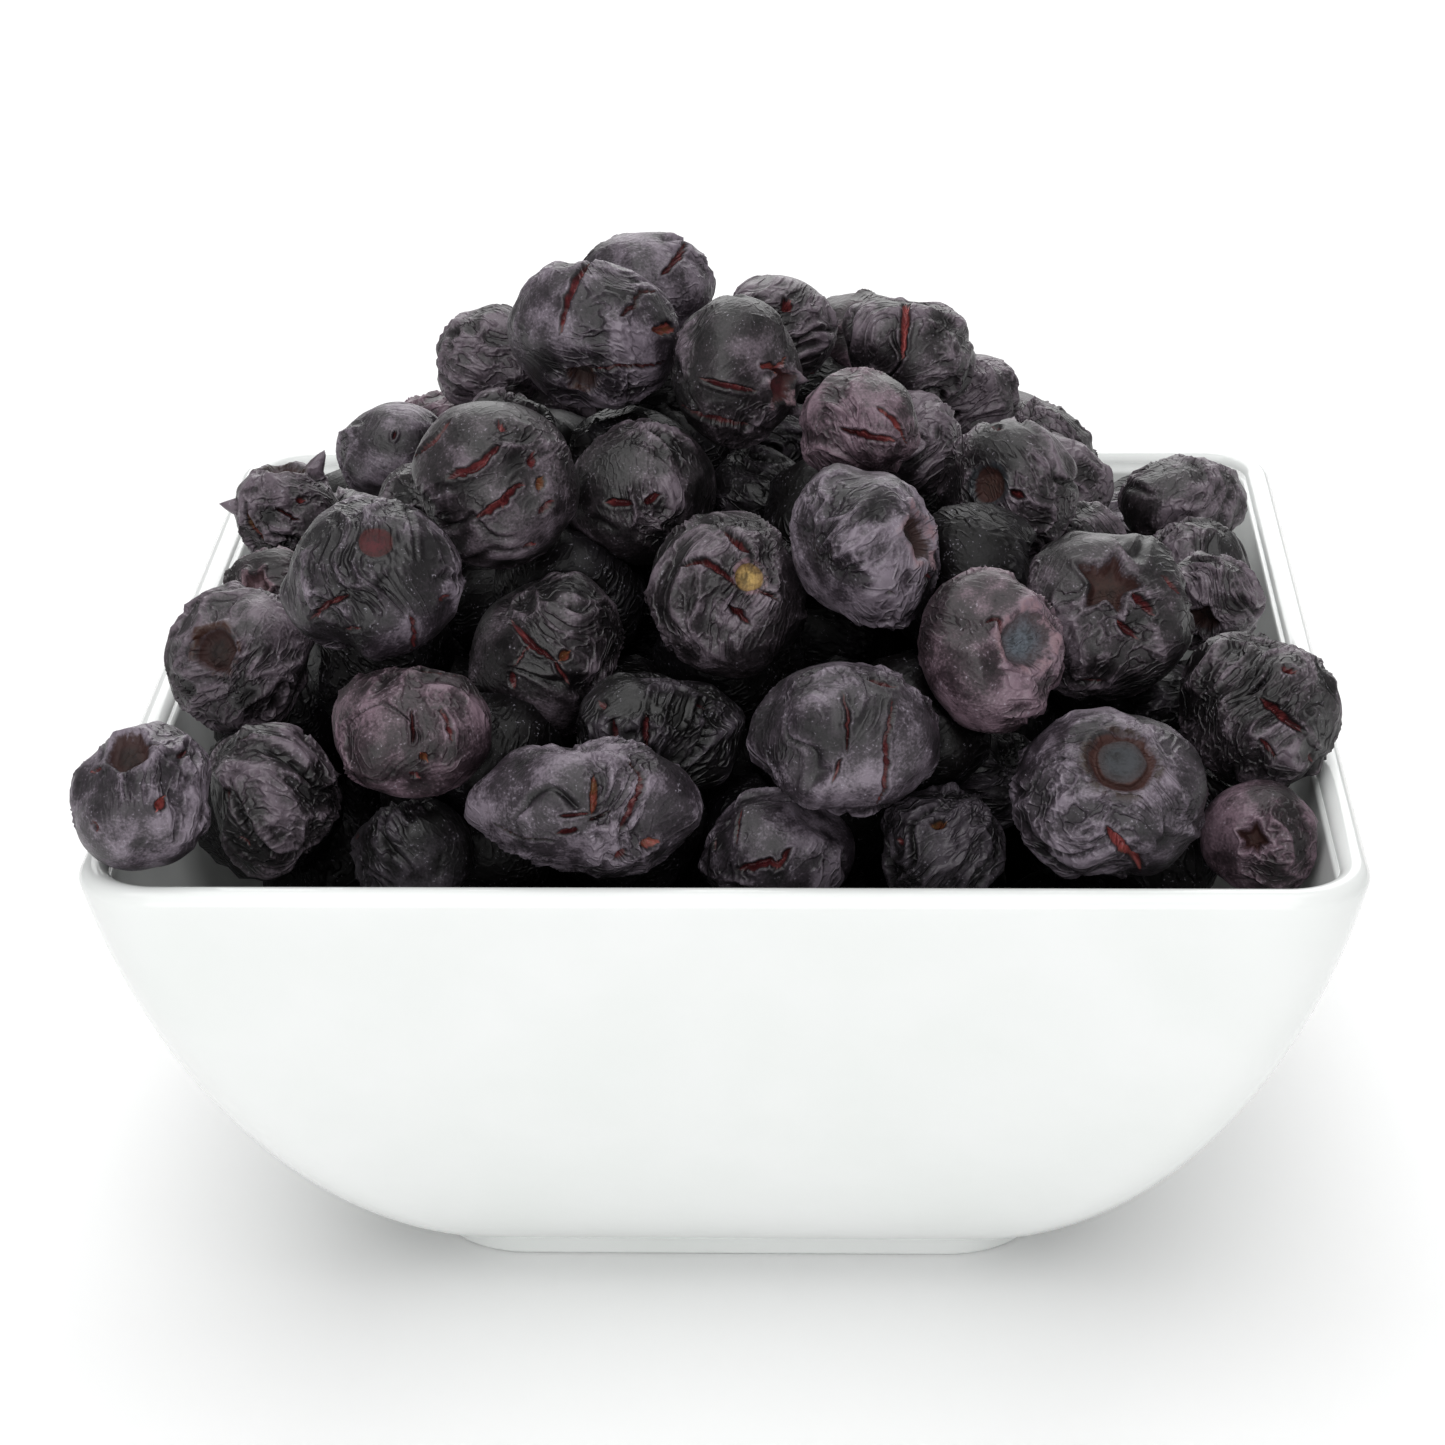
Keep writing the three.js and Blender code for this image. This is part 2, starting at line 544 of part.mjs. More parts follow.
const single = [...SHOWN_BERRIES, ...BACK_BERRIES].map(lyingBerry);
const row = rowBerries(single.length);
settle(single, row);
const hidden = hiddenBerries(single.length + row.length, [...single, ...row]);
const everyBerry = [...single, ...row, ...hidden];
everyBerry.forEach((berry, i) => {
  limitAtLip(berry);
  for (const other of everyBerry.slice(i + 1)) {
    const near = berry.middle.distanceTo(other.middle) < BERRY_SPAN;
    if (near && berry.name !== other.name) limitPair(berry, other);
  }
});

const bowlOfBerries = new THREE.Group();

function addPiece(name, geometry, material) {
  const mesh = new THREE.Mesh(geometry, material);
  mesh.name = name;
  bowlOfBerries.add(mesh);
}

function skinMaterial(index) {
  return new THREE.MeshStandardMaterial({ color: SKIN_COLOURS[index % SKIN_COLOURS.length], ...BERRY_SKIN });
}

addPiece('bowl', bowlGeometry(), PORCELAIN);
single.forEach((berry, i) => addPiece(berry.name, berryGeometry(berry), skinMaterial(i)));
[...new Set([...row, ...hidden].map((berry) => berry.name))].forEach((name, i) => {
  const members = [...row, ...hidden].filter((berry) => berry.name === name);
  addPiece(name, fusedGeometry(members), skinMaterial(i));
});

export default bowlOfBerries;
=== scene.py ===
# A small square porcelain bowl heaped with whole freeze-dried blueberries.
# Sizes are in millimetres and meshes in metres, +Z up, and the bowl's front faces -Y.

import math

import bpy
import numpy as np
from mathutils import Matrix


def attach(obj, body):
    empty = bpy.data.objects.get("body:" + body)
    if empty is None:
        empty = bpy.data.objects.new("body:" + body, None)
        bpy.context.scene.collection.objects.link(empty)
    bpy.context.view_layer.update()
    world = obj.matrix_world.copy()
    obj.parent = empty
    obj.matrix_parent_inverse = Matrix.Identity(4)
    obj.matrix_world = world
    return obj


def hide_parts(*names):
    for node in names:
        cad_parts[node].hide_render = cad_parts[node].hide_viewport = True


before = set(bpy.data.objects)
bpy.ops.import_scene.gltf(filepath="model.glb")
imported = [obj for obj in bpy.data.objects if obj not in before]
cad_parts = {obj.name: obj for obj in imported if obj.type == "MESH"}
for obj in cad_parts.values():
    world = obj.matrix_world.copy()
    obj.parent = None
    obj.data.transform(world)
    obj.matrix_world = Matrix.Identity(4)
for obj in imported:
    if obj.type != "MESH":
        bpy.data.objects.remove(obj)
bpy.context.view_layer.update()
MM = 0.001

# The camera stands in front of the bowl and a little to its right, and looks down on it at 24 degrees.
# The lens is long, so the square rim narrows only a little towards the back.
CAMERA_PLACE = np.array([11.44, -309.3, 172.32])
LOOKS_DOWN = math.radians(23.702)
LOOKS_LEFT = math.radians(2.382)
LEANS = math.radians(-0.938)
LENS = 100.83
forward = np.array([
    -math.sin(LOOKS_LEFT) * math.cos(LOOKS_DOWN),
    math.cos(LOOKS_LEFT) * math.cos(LOOKS_DOWN),
    -math.sin(LOOKS_DOWN),
])
level = np.array([math.cos(LOOKS_LEFT), math.sin(LOOKS_LEFT), 0])
upright = np.cross(level, forward)
to_right = math.cos(LEANS) * level + math.sin(LEANS) * upright
to_top = math.cos(LEANS) * upright - math.sin(LEANS) * level
camera = bpy.data.objects.new("camera", bpy.data.cameras.new("camera"))
bpy.context.scene.collection.objects.link(camera)
camera.data.lens = LENS
camera.data.sensor_width = 36
turned = np.eye(4)
turned[:3, :3] = np.stack([to_right, to_top, -forward], 1)
turned[:3, 3] = CAMERA_PLACE * MM
camera.matrix_world = Matrix(turned)
bpy.context.scene.camera = camera


# The room: a white sheet of paper under the bowl, even white light from all round, and four soft boxes that
# face the heap: one above it, one behind it that draws bright edges on the berries, and two in front of it
# that light the bowl's wall.
def linear(code):
    """A colour's sRGB hex code as linear red, green, blue and alpha."""
    parts = [int(code[i:i + 2], 16) / 255 for i in (1, 3, 5)]
    return [p / 12.92 if p <= 0.04045 else ((p + 0.055) / 1.055) ** 2.4 for p in parts] + [1.0]


def add(tree, kind, inputs=(), stops=(), **settings):
    """Adds a node of a kind. Each input is set, or linked where its value is another node's output."""
    made = tree.nodes.new(kind)
    for name, value in settings.items():
        setattr(made, name, value)
    for name, value in dict(inputs).items():
        if isinstance(value, bpy.types.NodeSocket):
            tree.links.new(value, made.inputs[name])
        else:
            made.inputs[name].default_value = value
    for i, (place, value) in enumerate(stops):
        stop = made.color_ramp.elements[i] if i < 2 else made.color_ramp.elements.new(place)
        stop.position = place
        stop.color = value
    return made


def new_material(name):
    """An empty node material, its tree and its surface shader."""
    material = bpy.data.materials.new(name)
    material.use_nodes = True
    return material, material.node_tree, material.node_tree.nodes["Principled BSDF"]


def new_piece(name, points, faces, material):
    """A smooth mesh object from points in millimetres and faces of three or four corners."""
    mesh = bpy.data.meshes.new(name)
    mesh.from_pydata(points * MM, [], faces)
    mesh.polygons.foreach_set("use_smooth", np.ones(len(mesh.polygons), bool))
    mesh.materials.append(material)
    piece = bpy.data.objects.new(name, mesh)
    bpy.context.scene.collection.objects.link(piece)
    return piece


# Uncoated paper: it scatters nearly all the light that falls on it, and has no gloss to mirror the bowl
FLOOR_REACH = 1500
paper, tree, shader = new_material("matt white paper")
shader.inputs["Base Color"].default_value = linear("#fdfdfd")
shader.inputs["Roughness"].default_value = 0.9
shader.inputs["Specular IOR Level"].default_value = 0.2
floor_corners = np.array([[-1, -1, 0], [1, -1, 0], [1, 1, 0], [-1, 1, 0]], float) * FLOOR_REACH
floor = new_piece("floor", floor_corners, [(0, 1, 2, 3)], paper)

world = bpy.data.worlds.new("white room")
bpy.context.scene.world = world
world.use_nodes = True
world.node_tree.nodes["Background"].inputs["Color"].default_value = (1, 1, 1, 1)
world.node_tree.nodes["Background"].inputs["Strength"].default_value = 0.34
bpy.context.scene.view_settings.view_transform = "Standard"


LIGHTS_FACE = np.array([0, 0, 50])


def soft_box(name, place, width, watts):
    """A square area light at a place, with its width in millimetres, that faces the middle of the heap."""
    light = bpy.data.lights.new(name, "AREA")
    light.size = width * MM
    light.energy = watts
    box = bpy.data.objects.new(name, light)
    bpy.context.scene.collection.objects.link(box)
    away = np.array(place, float) - LIGHTS_FACE
    depth = away / np.linalg.norm(away)
    side = np.cross([0, 0, 1], depth)
    side /= np.linalg.norm(side)
    aimed = np.eye(4)
    aimed[:3, :3] = np.stack([side, np.cross(depth, side), depth], 1)
    aimed[:3, 3] = np.array(place) * MM
    box.matrix_world = Matrix(aimed)


soft_box("light_above", (-60, -120, 800), 700, 2.8)
soft_box("light_back", (40, 620, 430), 700, 3.7)
soft_box("light_front", (-60, -900, 120), 500, 2.4)
soft_box("light_floor", (0, -560, 560), 500, 1.3)


# The bowl is cast porcelain under a clear glaze: glossy white, thin and even, with a rounded lip.
# Its foot is a low square ring round a sunk underside, and the wall sweeps out and up from it.
RIM_WIDTH = 95
BOWL_HEIGHT = 43.6
RIM_CORNER = 6.3
FOOT_WIDTH = 50
FOOT_HEIGHT = 1.9
FOOT_CORNER = 7.9
FOOT_RING = 3.2
FOOT_RECESS = 1.2
FOOT_BEVEL = 0.4
FOOT_ROUND = 0.3
WALL_START = 0.3
WALL_BENDS = ((32.7, 4.6), (43.7, 21.6))
LIP_THICKNESS = 2.3
WALL_THICKNESS = 3.0
FLOOR_THICKNESS = 3.2
LIP_RADIUS = LIP_THICKNESS / 2
LIP_HEIGHT = BOWL_HEIGHT - LIP_RADIUS
floor_height = FOOT_RECESS + FLOOR_THICKNESS


def wall_curve(share):
    """Half width and height of the wall's outside, and the way it heads there. It is one cubic Bezier curve
    from the foot to the lip: each of its four points weighs as much as its cubic blend of s and 1 - s."""
    ends = np.array([(FOOT_WIDTH / 2 + WALL_START, FOOT_HEIGHT), *WALL_BENDS, (RIM_WIDTH / 2, LIP_HEIGHT)])
    s = np.asarray(share)[:, None]
    blend = [(1 - s) ** 3, 3 * s * (1 - s) ** 2, 3 * s ** 2 * (1 - s), s ** 3]
    slope = [-3 * (1 - s) ** 2, 3 * (1 - s) * (1 - 3 * s), 3 * s * (2 - 3 * s), 3 * s ** 2]
    along = sum(w * p for w, p in zip(slope, ends))
    return sum(w * p for w, p in zip(blend, ends)), along / np.linalg.norm(along, axis=1, keepdims=True)


def corner_at(height):
    """The corner's radius goes evenly from the foot's to the rim's."""
    return FOOT_CORNER + (RIM_CORNER - FOOT_CORNER) * height / BOWL_HEIGHT


def arc(middle, radius, start, end, steps):
    """Points of a circle's arc between two angles in degrees."""
    turn = np.radians(np.linspace(start, end, steps))
    return np.stack([middle[0] + radius * np.cos(turn), middle[1] + radius * np.sin(turn)], 1)


share = np.linspace(0, 1, 56)
outside, along = wall_curve(share)
thickness = WALL_THICKNESS + (LIP_THICKNESS - WALL_THICKNESS) * share[:, None]
inside = (outside + np.stack([-along[:, 1], along[:, 0]], 1) * thickness)[::-1]
inside_corner = (corner_at(outside[:, 1]) - thickness[:, 0])[::-1]
half_foot = FOOT_WIDTH / 2
ring_in = half_foot - FOOT_RING
foot = np.concatenate([
    [[ring_in - FOOT_BEVEL - 1, FOOT_RECESS]],
    arc((ring_in - FOOT_BEVEL - FOOT_ROUND, FOOT_RECESS - FOOT_ROUND), FOOT_ROUND, 90, 0, 5),
    arc((ring_in + FOOT_ROUND, FOOT_ROUND), FOOT_ROUND, 180, 270, 5),
    arc((half_foot - FOOT_BEVEL, FOOT_BEVEL), FOOT_BEVEL, 270, 360, 7),
    [[half_foot, FOOT_HEIGHT - 0.5]],
    arc((half_foot + WALL_START, FOOT_HEIGHT - 0.25), WALL_START, 180, 120, 4),
])
lip = arc((RIM_WIDTH / 2 - LIP_RADIUS, LIP_HEIGHT), LIP_RADIUS, 0, 180, 18)[1:-1]
profile = np.concatenate([foot, outside[1:], lip, inside])
corners = np.concatenate([
    np.minimum(corner_at(foot[:, 1]), FOOT_CORNER - np.maximum(half_foot - foot[:, 0], 0)),
    corner_at(outside[1:, 1]),
    RIM_CORNER - (RIM_WIDTH / 2 - lip[:, 0]),
    inside_corner,
])

# The way round the square: each point of a level row is a corner's middle times the hub, plus the corner's
# radius times the rim. The rim turns round the corners, and the hub goes along the sides.
CORNER_STEPS = 14
SIDE_STEPS = 16
hub, rim = [], []
for quarter in range(4):
    turn = (quarter + np.linspace(0, 1, CORNER_STEPS + 1)) * math.pi / 2
    here = np.array([[1, 1], [-1, 1], [-1, -1], [1, -1]][quarter])
    there = np.array([[-1, 1], [-1, -1], [1, -1], [1, 1]][quarter])
    hub.append(np.repeat(here[None], CORNER_STEPS + 1, 0))
    rim.append(np.stack([np.cos(turn), np.sin(turn)], 1))
    part = np.linspace(0, 1, SIDE_STEPS + 1)[1:-1, None]
    hub.append(here + (there - here) * part)
    rim.append(np.repeat(rim[-1][-1:], SIDE_STEPS - 1, 0))
hub, rim = np.concatenate(hub), np.concatenate(rim)


def closed_skin(start, rows, end):
    """Points and faces of rows of points drawn round an axis and closed by a fan at both ends."""
    count, size = rows.shape[:2]
    points = np.concatenate([[start], rows.reshape(-1, 3), [end]])
    low = 1 + np.arange(count - 1)[:, None] * size + np.arange(size)
    after = np.roll(low, -1, axis=1)
    quads = np.stack([low, after, after + size, low + size], -1).reshape(-1, 4)
    first, last = 1 + np.arange(size), 1 + (count - 1) * size + np.arange(size)
    fan_in = np.stack([np.zeros(size, int), np.roll(first, -1), first], 1)
    fan_out = np.stack([np.full(size, len(points) - 1), last, np.roll(last, -1)], 1)
    return points, fan_in.tolist() + quads.tolist() + fan_out.tolist()


flat = (profile[:, 0] - corners)[:, None, None] * hub + corners[:, None, None] * rim
rows = np.concatenate([flat, np.repeat(profile[:, 1][:, None, None], len(hub), 1)], 2)
points, faces = closed_skin([0, 0, FOOT_RECESS], rows, [0, 0, floor_height])

# The glaze: a hard clear gloss over a body that is a little off white. It pools into paler patches about
# 11 mm wide, and its surface ripples every 1.4 mm, too little to see but for the edges of reflections.
glaze, tree, shader = new_material("glazed white porcelain")
place = add(tree, "ShaderNodeTexCoord").outputs["Object"]
pool = add(tree, "ShaderNodeTexNoise", {"Vector": place, "Scale": 90, "Detail": 2})
tone = add(tree, "ShaderNodeValToRGB", {"Fac": pool.outputs["Fac"]},
           stops=[(0.3, linear("#ebeeec")), (0.7, linear("#eff1f0"))])
orange_peel = add(tree, "ShaderNodeTexNoise", {"Vector": place, "Scale": 700, "Detail": 1})
ripple = add(tree, "ShaderNodeBump",
             {"Height": orange_peel.outputs["Fac"], "Strength": 0.25, "Distance": 0.04 * MM})
tree.links.new(tone.outputs["Color"], shader.inputs["Base Color"])
tree.links.new(ripple.outputs["Normal"], shader.inputs["Normal"])
shader.inputs["Roughness"].default_value = 0.14
shader.inputs["IOR"].default_value = 1.5
bowl = new_piece("porcelain_bowl", points, faces, glaze)
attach(bowl, "root")
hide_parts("bowl")


# The berries are highbush blueberries, dried whole from frozen: the skin keeps the berry's round form but
# sags between the seeds, wrinkles, and splits to show dark red flesh. Each is one closed piece, and lies
# where its solid does.

# A place on a berry is as seen from the camera: across and up from its middle, in shares of its half size.
# half: half its width, height and length, the last along the crown's axis. crown: which way that faces.
# skin: its finish, where shaded is a darker copy of the skin as painted shade. pale: how much more bloom it
# has than that finish. wrinkles: how much of it is finely wrinkled, from 0 to 1.
# splits: the skin's cracks, each a run of places, its widest half opening and the tone of its flesh, from 0,
# near black, painted shade for flesh deep in a narrow crack, over 0.3, dark red, 0.6, rose, and 0.8, brown,
# to 1, straw.
# mark: the crown's scar: its radius, how deep it lies, how starred its edge is from 0 to 1, how high its
# sepals stand, and the tones of its floor and its rim, where a rim of 0 is none.
# scar: the stem's scar: its place, radius and depth, and the tones of its floor and its rim. These tones and
# the crown's go from 0, near black, over 0.25, brown, 0.5, dark red, 0.7, slate, 0.78, grey, and 0.85,
# dusty pink, to 1, straw.
# shards: flakes of skin that stand up: their place, half width and height.
BERRIES = {
    "peak_front": dict(
        half=(7.3, 6.8, 6.4), crown=(-1, -9, -4), skin="bloomed", pale=0.1, wrinkles=0.35,
        splits=[([(0, 0.97), (-0.22, 0.6), (-0.4, 0.0)], 0.3, 0.3),
                ([(0.32, 0.23), (0.5, 0.4), (0.55, 0.56), (0.74, 0.56)], 0.2, 0.12),
                ([(0.66, 0.05), (0.95, 0.08)], 0.4, 0.7),
                ([(-0.1, -0.5), (0.3, -0.42), (0.83, -0.34)], 0.14, 0.2)],
        mark=(1.7, 1.2, 0.25, 0.2, 0.05, 0.25)),
    "peak_back": dict(
        half=(6, 5.2, 5.6), crown=(-3, 9, 3), skin="bloomed", pale=0.15, wrinkles=0.2,
        splits=[([(0.6, 0.75), (0.56, 0.6), (0.25, 0.22)], 0.28, 0.3)]),
    "peak_left": dict(half=(5.4, 4.8, 5), crown=(-9, 5, 1), skin="charcoal", pale=0.15, wrinkles=0.7),
    "peak_right": dict(
        half=(5.6, 6.5, 5.2), crown=(8, -6, -1), skin="charcoal", pale=-0.25, wrinkles=0.3,
        splits=[([(-0.6, -0.1), (-0.2, -0.2), (0.33, -0.3)], 0.22, 0.3),
                ([(-0.85, -0.45), (-0.3, -0.65), (0.25, -0.75)], 0.3, 0.3),
                ([(0.4, 0.1), (0.7, 0.02), (0.85, 0.2)], 0.35, 0.65)],
        mark=(1.8, 0.9, 0.3, 0.4, 0.5, 0.85), shards=[(0.84, -0.5, 0.6, 1.3), (0.95, -0.12, 0.6, 1.0)]),
    "top_middle": dict(
        half=(5, 4.8, 5), crown=(3, 9, 4), skin="charcoal", pale=0.1, wrinkles=0.5,
        splits=[([(0.1, 0.6), (0.16, 0.5), (0.1, 0.35)], 0.4, 0.3)]),
    "top_right": dict(
        half=(5.6, 5.6, 6.6), crown=(8, 1, -5), skin="charcoal", pale=-0.1, wrinkles=0.6,
        splits=[([(-0.06, 0.95), (-0.08, 0.5), (-0.12, -0.05)], 0.32, 0.55)]),
    "top_far_right": dict(half=(5, 4.8, 5), crown=(6, 8, 0), skin="charcoal", pale=0.35, wrinkles=0.9),
    "pink": dict(
        half=(4.8, 4.6, 5.8), crown=(8, -6, 1), skin="rosy", wrinkles=0.8,
        splits=[([(-0.28, -0.05), (0.2, -0.2), (0.6, -0.27)], 0.25, 0.3),
                ([(0.29, 0.32), (0.55, 0.1), (0.77, -0.34)], 0.22, 0.55)]),
    "behind_pink": dict(half=(5, 4.8, 4.8), crown=(2, 9, 3), skin="charcoal", pale=0.15, wrinkles=0.7),
    "brown_disc": dict(
        half=(5.8, 6, 5.2), crown=(-4, -8, 4), skin="charcoal", pale=-0.15, wrinkles=0.7,
        splits=[([(0.05, 0.0), (0.25, -0.1)], 0.3, 0.3), ([(-0.25, 0.9), (-0.05, 0.85)], 0.25, 0.3)],
        mark=(2.0, 0.7, 0.04, 0, 0.25, 0.7)),
    "right_shoulder": dict(half=(5, 4.6, 4.6), crown=(5, 8, 3), skin="charcoal", wrinkles=0.9),
    "right_gap": dict(half=(4.8, 4.6, 4.8), crown=(8, 4, -5), skin="charcoal", wrinkles=0.8),
    "right_upper": dict(half=(5.6, 5, 4.3), crown=(1, -3, 10), skin="charcoal", pale=-0.1, wrinkles=0.7),
    "right_middle": dict(half=(5, 4.8, 4.4), crown=(8, 6, 1), skin="charcoal", pale=-0.4, wrinkles=1.0),
    "right_star": dict(
        half=(4.8, 4.6, 4.6), crown=(-4, -9, -1), skin="charcoal", pale=0.1, wrinkles=0.8,
        mark=(2.0, 1.3, 0.3, 0.2, 0.1, 0)),
    "brown_star": dict(
        half=(7.6, 7.4, 6.4), crown=(1, -7, 7), skin="charcoal", pale=-0.3, wrinkles=0.4,
        splits=[([(0.64, 0.4), (0.84, 0.2)], 0.35, 0.3), ([(0.35, 0.2), (0.6, -0.05)], 0.35, 0.3),
                ([(0.2, -0.1), (0.45, -0.35)], 0.3, 0.3), ([(-0.3, -0.75), (0.1, -0.8)], 0.2, 0.3)],
        mark=(2.9, 1.5, 0.45, 0.1, 0.2, 0)),
    "right_rim": dict(
        half=(6.6, 6.2, 6.6), crown=(5, 6, -7), skin="charcoal", pale=-0.35, wrinkles=1.0,
        splits=[([(0.05, 0.2), (0.3, 0.0), (0.57, -0.28)], 0.35, 0.3),
                ([(0.35, 0.6), (0.5, 0.5)], 0.25, 0.3), ([(0.05, -0.35), (0.25, -0.6)], 0.2, 0.3),
                ([(0.65, -0.55), (0.7, -0.65)], 0.3, 0.3)]),
    "ring_crown": dict(
        half=(7.7, 7.1, 6.4), crown=(1, -6, 8), skin="bloomed", pale=-0.05, wrinkles=0.45,
        splits=[([(-0.05, -0.35), (0.12, -0.6), (0.25, -0.72), (0.33, -0.92)], 0.42, 0.6)],
        mark=(2.9, 0.8, 0.05, 0, 0.7, 0.1)),
    "front_right": dict(
        half=(4.6, 4.9, 4.6), crown=(-2, -9, 4), skin="rosy", pale=0.15, wrinkles=0.2,
        mark=(1.7, 1.3, 0.35, 0.2, 0.25, 0)),
    "grey_disc": dict(
        half=(5.8, 6.5, 5.4), crown=(6, -7, 5), skin="rosy", pale=0.15, wrinkles=0.45,
        splits=[([(-0.1, 0.42), (0.1, 0.45), (0.2, 0.2)], 0.25, 0.3)],
        mark=(2.7, 0.7, 0.12, 0.4, 0.78, 0.85)),
    "blue_egg": dict(
        half=(6, 7, 5.7), crown=(7, -3, 3), skin="bloomed", pale=0.1, wrinkles=0.15,
        splits=[([(0.8, -0.3), (0.92, -0.33)], 0.3, 0.3), ([(0.3, -0.52), (0.4, -0.52)], 0.12, 0.3)],
        mark=(2.6, 1.4, 0.25, 0.4, 0.1, 0.85)),
    "stem_scar": dict(
        half=(6.5, 6.8, 6), crown=(-3, 7, -6), skin="charcoal", pale=-0.25, wrinkles=0.5,
        splits=[([(-0.6, 0.35), (-0.3, 0.42), (-0.1, 0.3), (0.12, 0.12)], 0.25, 0.3),
                ([(-0.05, 0.78), (0.15, 0.6), (0.3, 0.5)], 0.3, 0.3),
                ([(0.0, -0.15), (0.15, -0.25), (0.28, -0.36)], 0.25, 0.3),
                ([(0.35, 0.1), (0.6, -0.05)], 0.15, 0.3)],
        scar=((0.28, 0.24), 1.3, 0.4, 1, 0.85)),
    "front_oval": dict(
        half=(7.4, 5.8, 6.2), crown=(0, 4, -5), skin="bloomed", wrinkles=0.3,
        splits=[([(-0.05, 0.6), (0.02, 0.3), (0.0, -0.2)], 0.1, 0.3),
                ([(-0.06, -0.3), (-0.16, -0.62)], 0.14, 0.3),
                ([(0.46, 0.5), (0.42, 0.0), (0.32, -0.85)], 0.2, 0.3),
                ([(0.22, 0.78), (0.52, 0.66)], 0.3, 0.3)]),
    "wide_oval": dict(
        half=(9.2, 5.5, 6.3), crown=(0, 6, -7), skin="bloomed", pale=0.05, wrinkles=0.3,
        splits=[([(0.12, 0.45), (0.13, 0.15), (0.12, -0.1)], 0.3, 0.8),
                ([(-0.2, -0.12), (0.1, -0.1)], 0.16, 0.3),
                ([(0.42, 0.62), (0.52, 0.45), (0.5, 0.1), (0.38, -0.38)], 0.26, 0.3),
                ([(-0.24, -0.4), (-0.02, -0.34)], 0.26, 0.3), ([(0.3, -0.75), (0.42, -0.62)], 0.3, 0.3),
                ([(0.6, -0.55), (0.66, -0.5)], 0.45, 0.65),
                ([(-0.82, -0.22), (-0.55, -0.48), (-0.25, -0.52)], 0.1, 0.05),
                ([(0.08, -0.22), (0.3, -0.05)], 0.12, 0.1)]),
    "front_low": dict(
        half=(6.3, 5.2, 4.8), crown=(0, 3, -9), skin="bloomed", pale=0.05, wrinkles=0.4,
        splits=[([(-0.55, 0.6), (-0.78, 0.2), (-0.74, -0.05)], 0.28, 0.3),
                ([(-0.4, 0.6), (-0.45, 0.05)], 0.08, 0.3),
                ([(-0.5, -0.35), (-0.1, -0.2), (0.1, -0.3)], 0.3, 0.3),
                ([(0.2, 0.02), (0.0, -0.35)], 0.2, 0.3)]),
    "orange_patch": dict(
        half=(5.2, 4.8, 5), crown=(-3, 9, -1), skin="shaded", pale=0.1, wrinkles=0.8,
        splits=[([(-0.1, 0.42), (0.15, 0.45)], 0.5, 0.85), ([(-0.7, 0.15), (-0.55, 0.1)], 0.25, 0.3)]),
    "dark_fold": dict(
        half=(5.2, 5.2, 7.1), crown=(-9, -3, 2), skin="shaded", pale=-0.4, wrinkles=0.9,
        splits=[([(-0.7, 0.5), (-0.62, 0.35)], 0.3, 0.3), ([(-0.15, 0.3), (-0.15, -0.25)], 0.22, 0.3),
                ([(-0.5, 0.2), (-0.5, -0.3)], 0.22, 0.3), ([(0.42, 0.44), (0.58, 0.42)], 0.2, 0.3)]),
    "left_cracked": dict(
        half=(6.6, 6.3, 7.6), crown=(-3, 1, -9), skin="charcoal", pale=-0.1, wrinkles=0.35,
        splits=[([(-0.52, 0.5), (-0.2, 0.18), (0.12, -0.04)], 0.26, 0.3),
                ([(0.2, 0.0), (0.26, 0.03)], 0.35, 0.85), ([(0.1, -0.04), (0.3, -0.3)], 0.16, 0.3),
                ([(-0.42, -0.15), (-0.4, -0.35)], 0.35, 0.3), ([(-0.2, 0.15), (-0.42, -0.1)], 0.08, 0.3)]),
    "red_scar": dict(
        half=(7.4, 6.6, 5.8), crown=(-1, 6, -8), skin="bloomed", pale=-0.35, wrinkles=0.3,
        splits=[([(-0.7, -0.56), (-0.5, -0.34), (-0.25, -0.22)], 0.22, 0.3),
                ([(0.4, -0.45), (0.46, -0.62), (0.43, -0.86)], 0.2, 0.3),
                ([(0.7, -0.28), (0.82, -0.2)], 0.22, 0.3), ([(-0.3, -0.72), (-0.1, -0.62)], 0.15, 0.3)],
        scar=((0.05, 0.48), 1.5, 0.5, 0.5, 0)),
    "slashed": dict(
        half=(6.7, 6.8, 7.1), crown=(5, 3, -8), skin="charcoal", pale=-0.05, wrinkles=0.15,
        splits=[([(-0.5, 0.75), (-0.7, 0.5), (-0.93, 0.33)], 0.42, 0.3),
                ([(0.08, 0.45), (-0.2, 0.2), (-0.56, 0.05)], 0.34, 0.3),
                ([(0.38, 0.02), (0.1, -0.25), (-0.25, -0.47)], 0.4, 0.3),
                ([(0.05, 0.72), (0.14, 0.62)], 0.3, 0.3), ([(0.5, 0.36), (0.48, 0.24)], 0.45, 0.3),
                ([(0.62, 0.08), (0.58, -0.1)], 0.35, 0.85), ([(0.7, -0.22), (0.56, -0.36)], 0.35, 0.3),
                ([(0.36, -0.76), (0.48, -0.74)], 0.35, 0.3)]),
    "left_smooth": dict(
        half=(5.2, 4.6, 5), crown=(-5, 8, 3), skin="bloomed", pale=0.1, wrinkles=0.1,
        splits=[([(0.02, 0.35), (-0.03, 0.2)], 0.14, 0.3)]),
    "upper_middle": dict(
        half=(6.6, 6.3, 6), crown=(2, -1, -10), skin="charcoal", pale=-0.1, wrinkles=0.35,
        splits=[([(-0.45, -0.12), (-0.1, -0.15)], 0.3, 0.3), ([(0.05, -0.14), (0.28, -0.02)], 0.28, 0.3)]),
    "shadow_right": dict(half=(4.8, 4.6, 4.6), crown=(3, 10, -1), skin="shaded", wrinkles=0.6),
    "sepals": dict(
        half=(5.1, 5, 4.9), crown=(0, 2, 10), skin="charcoal", wrinkles=0.5,
        splits=[([(-0.74, 0.3), (-0.72, -0.2), (-0.4, -0.6), (0.05, -0.74)], 0.24, 0.8),
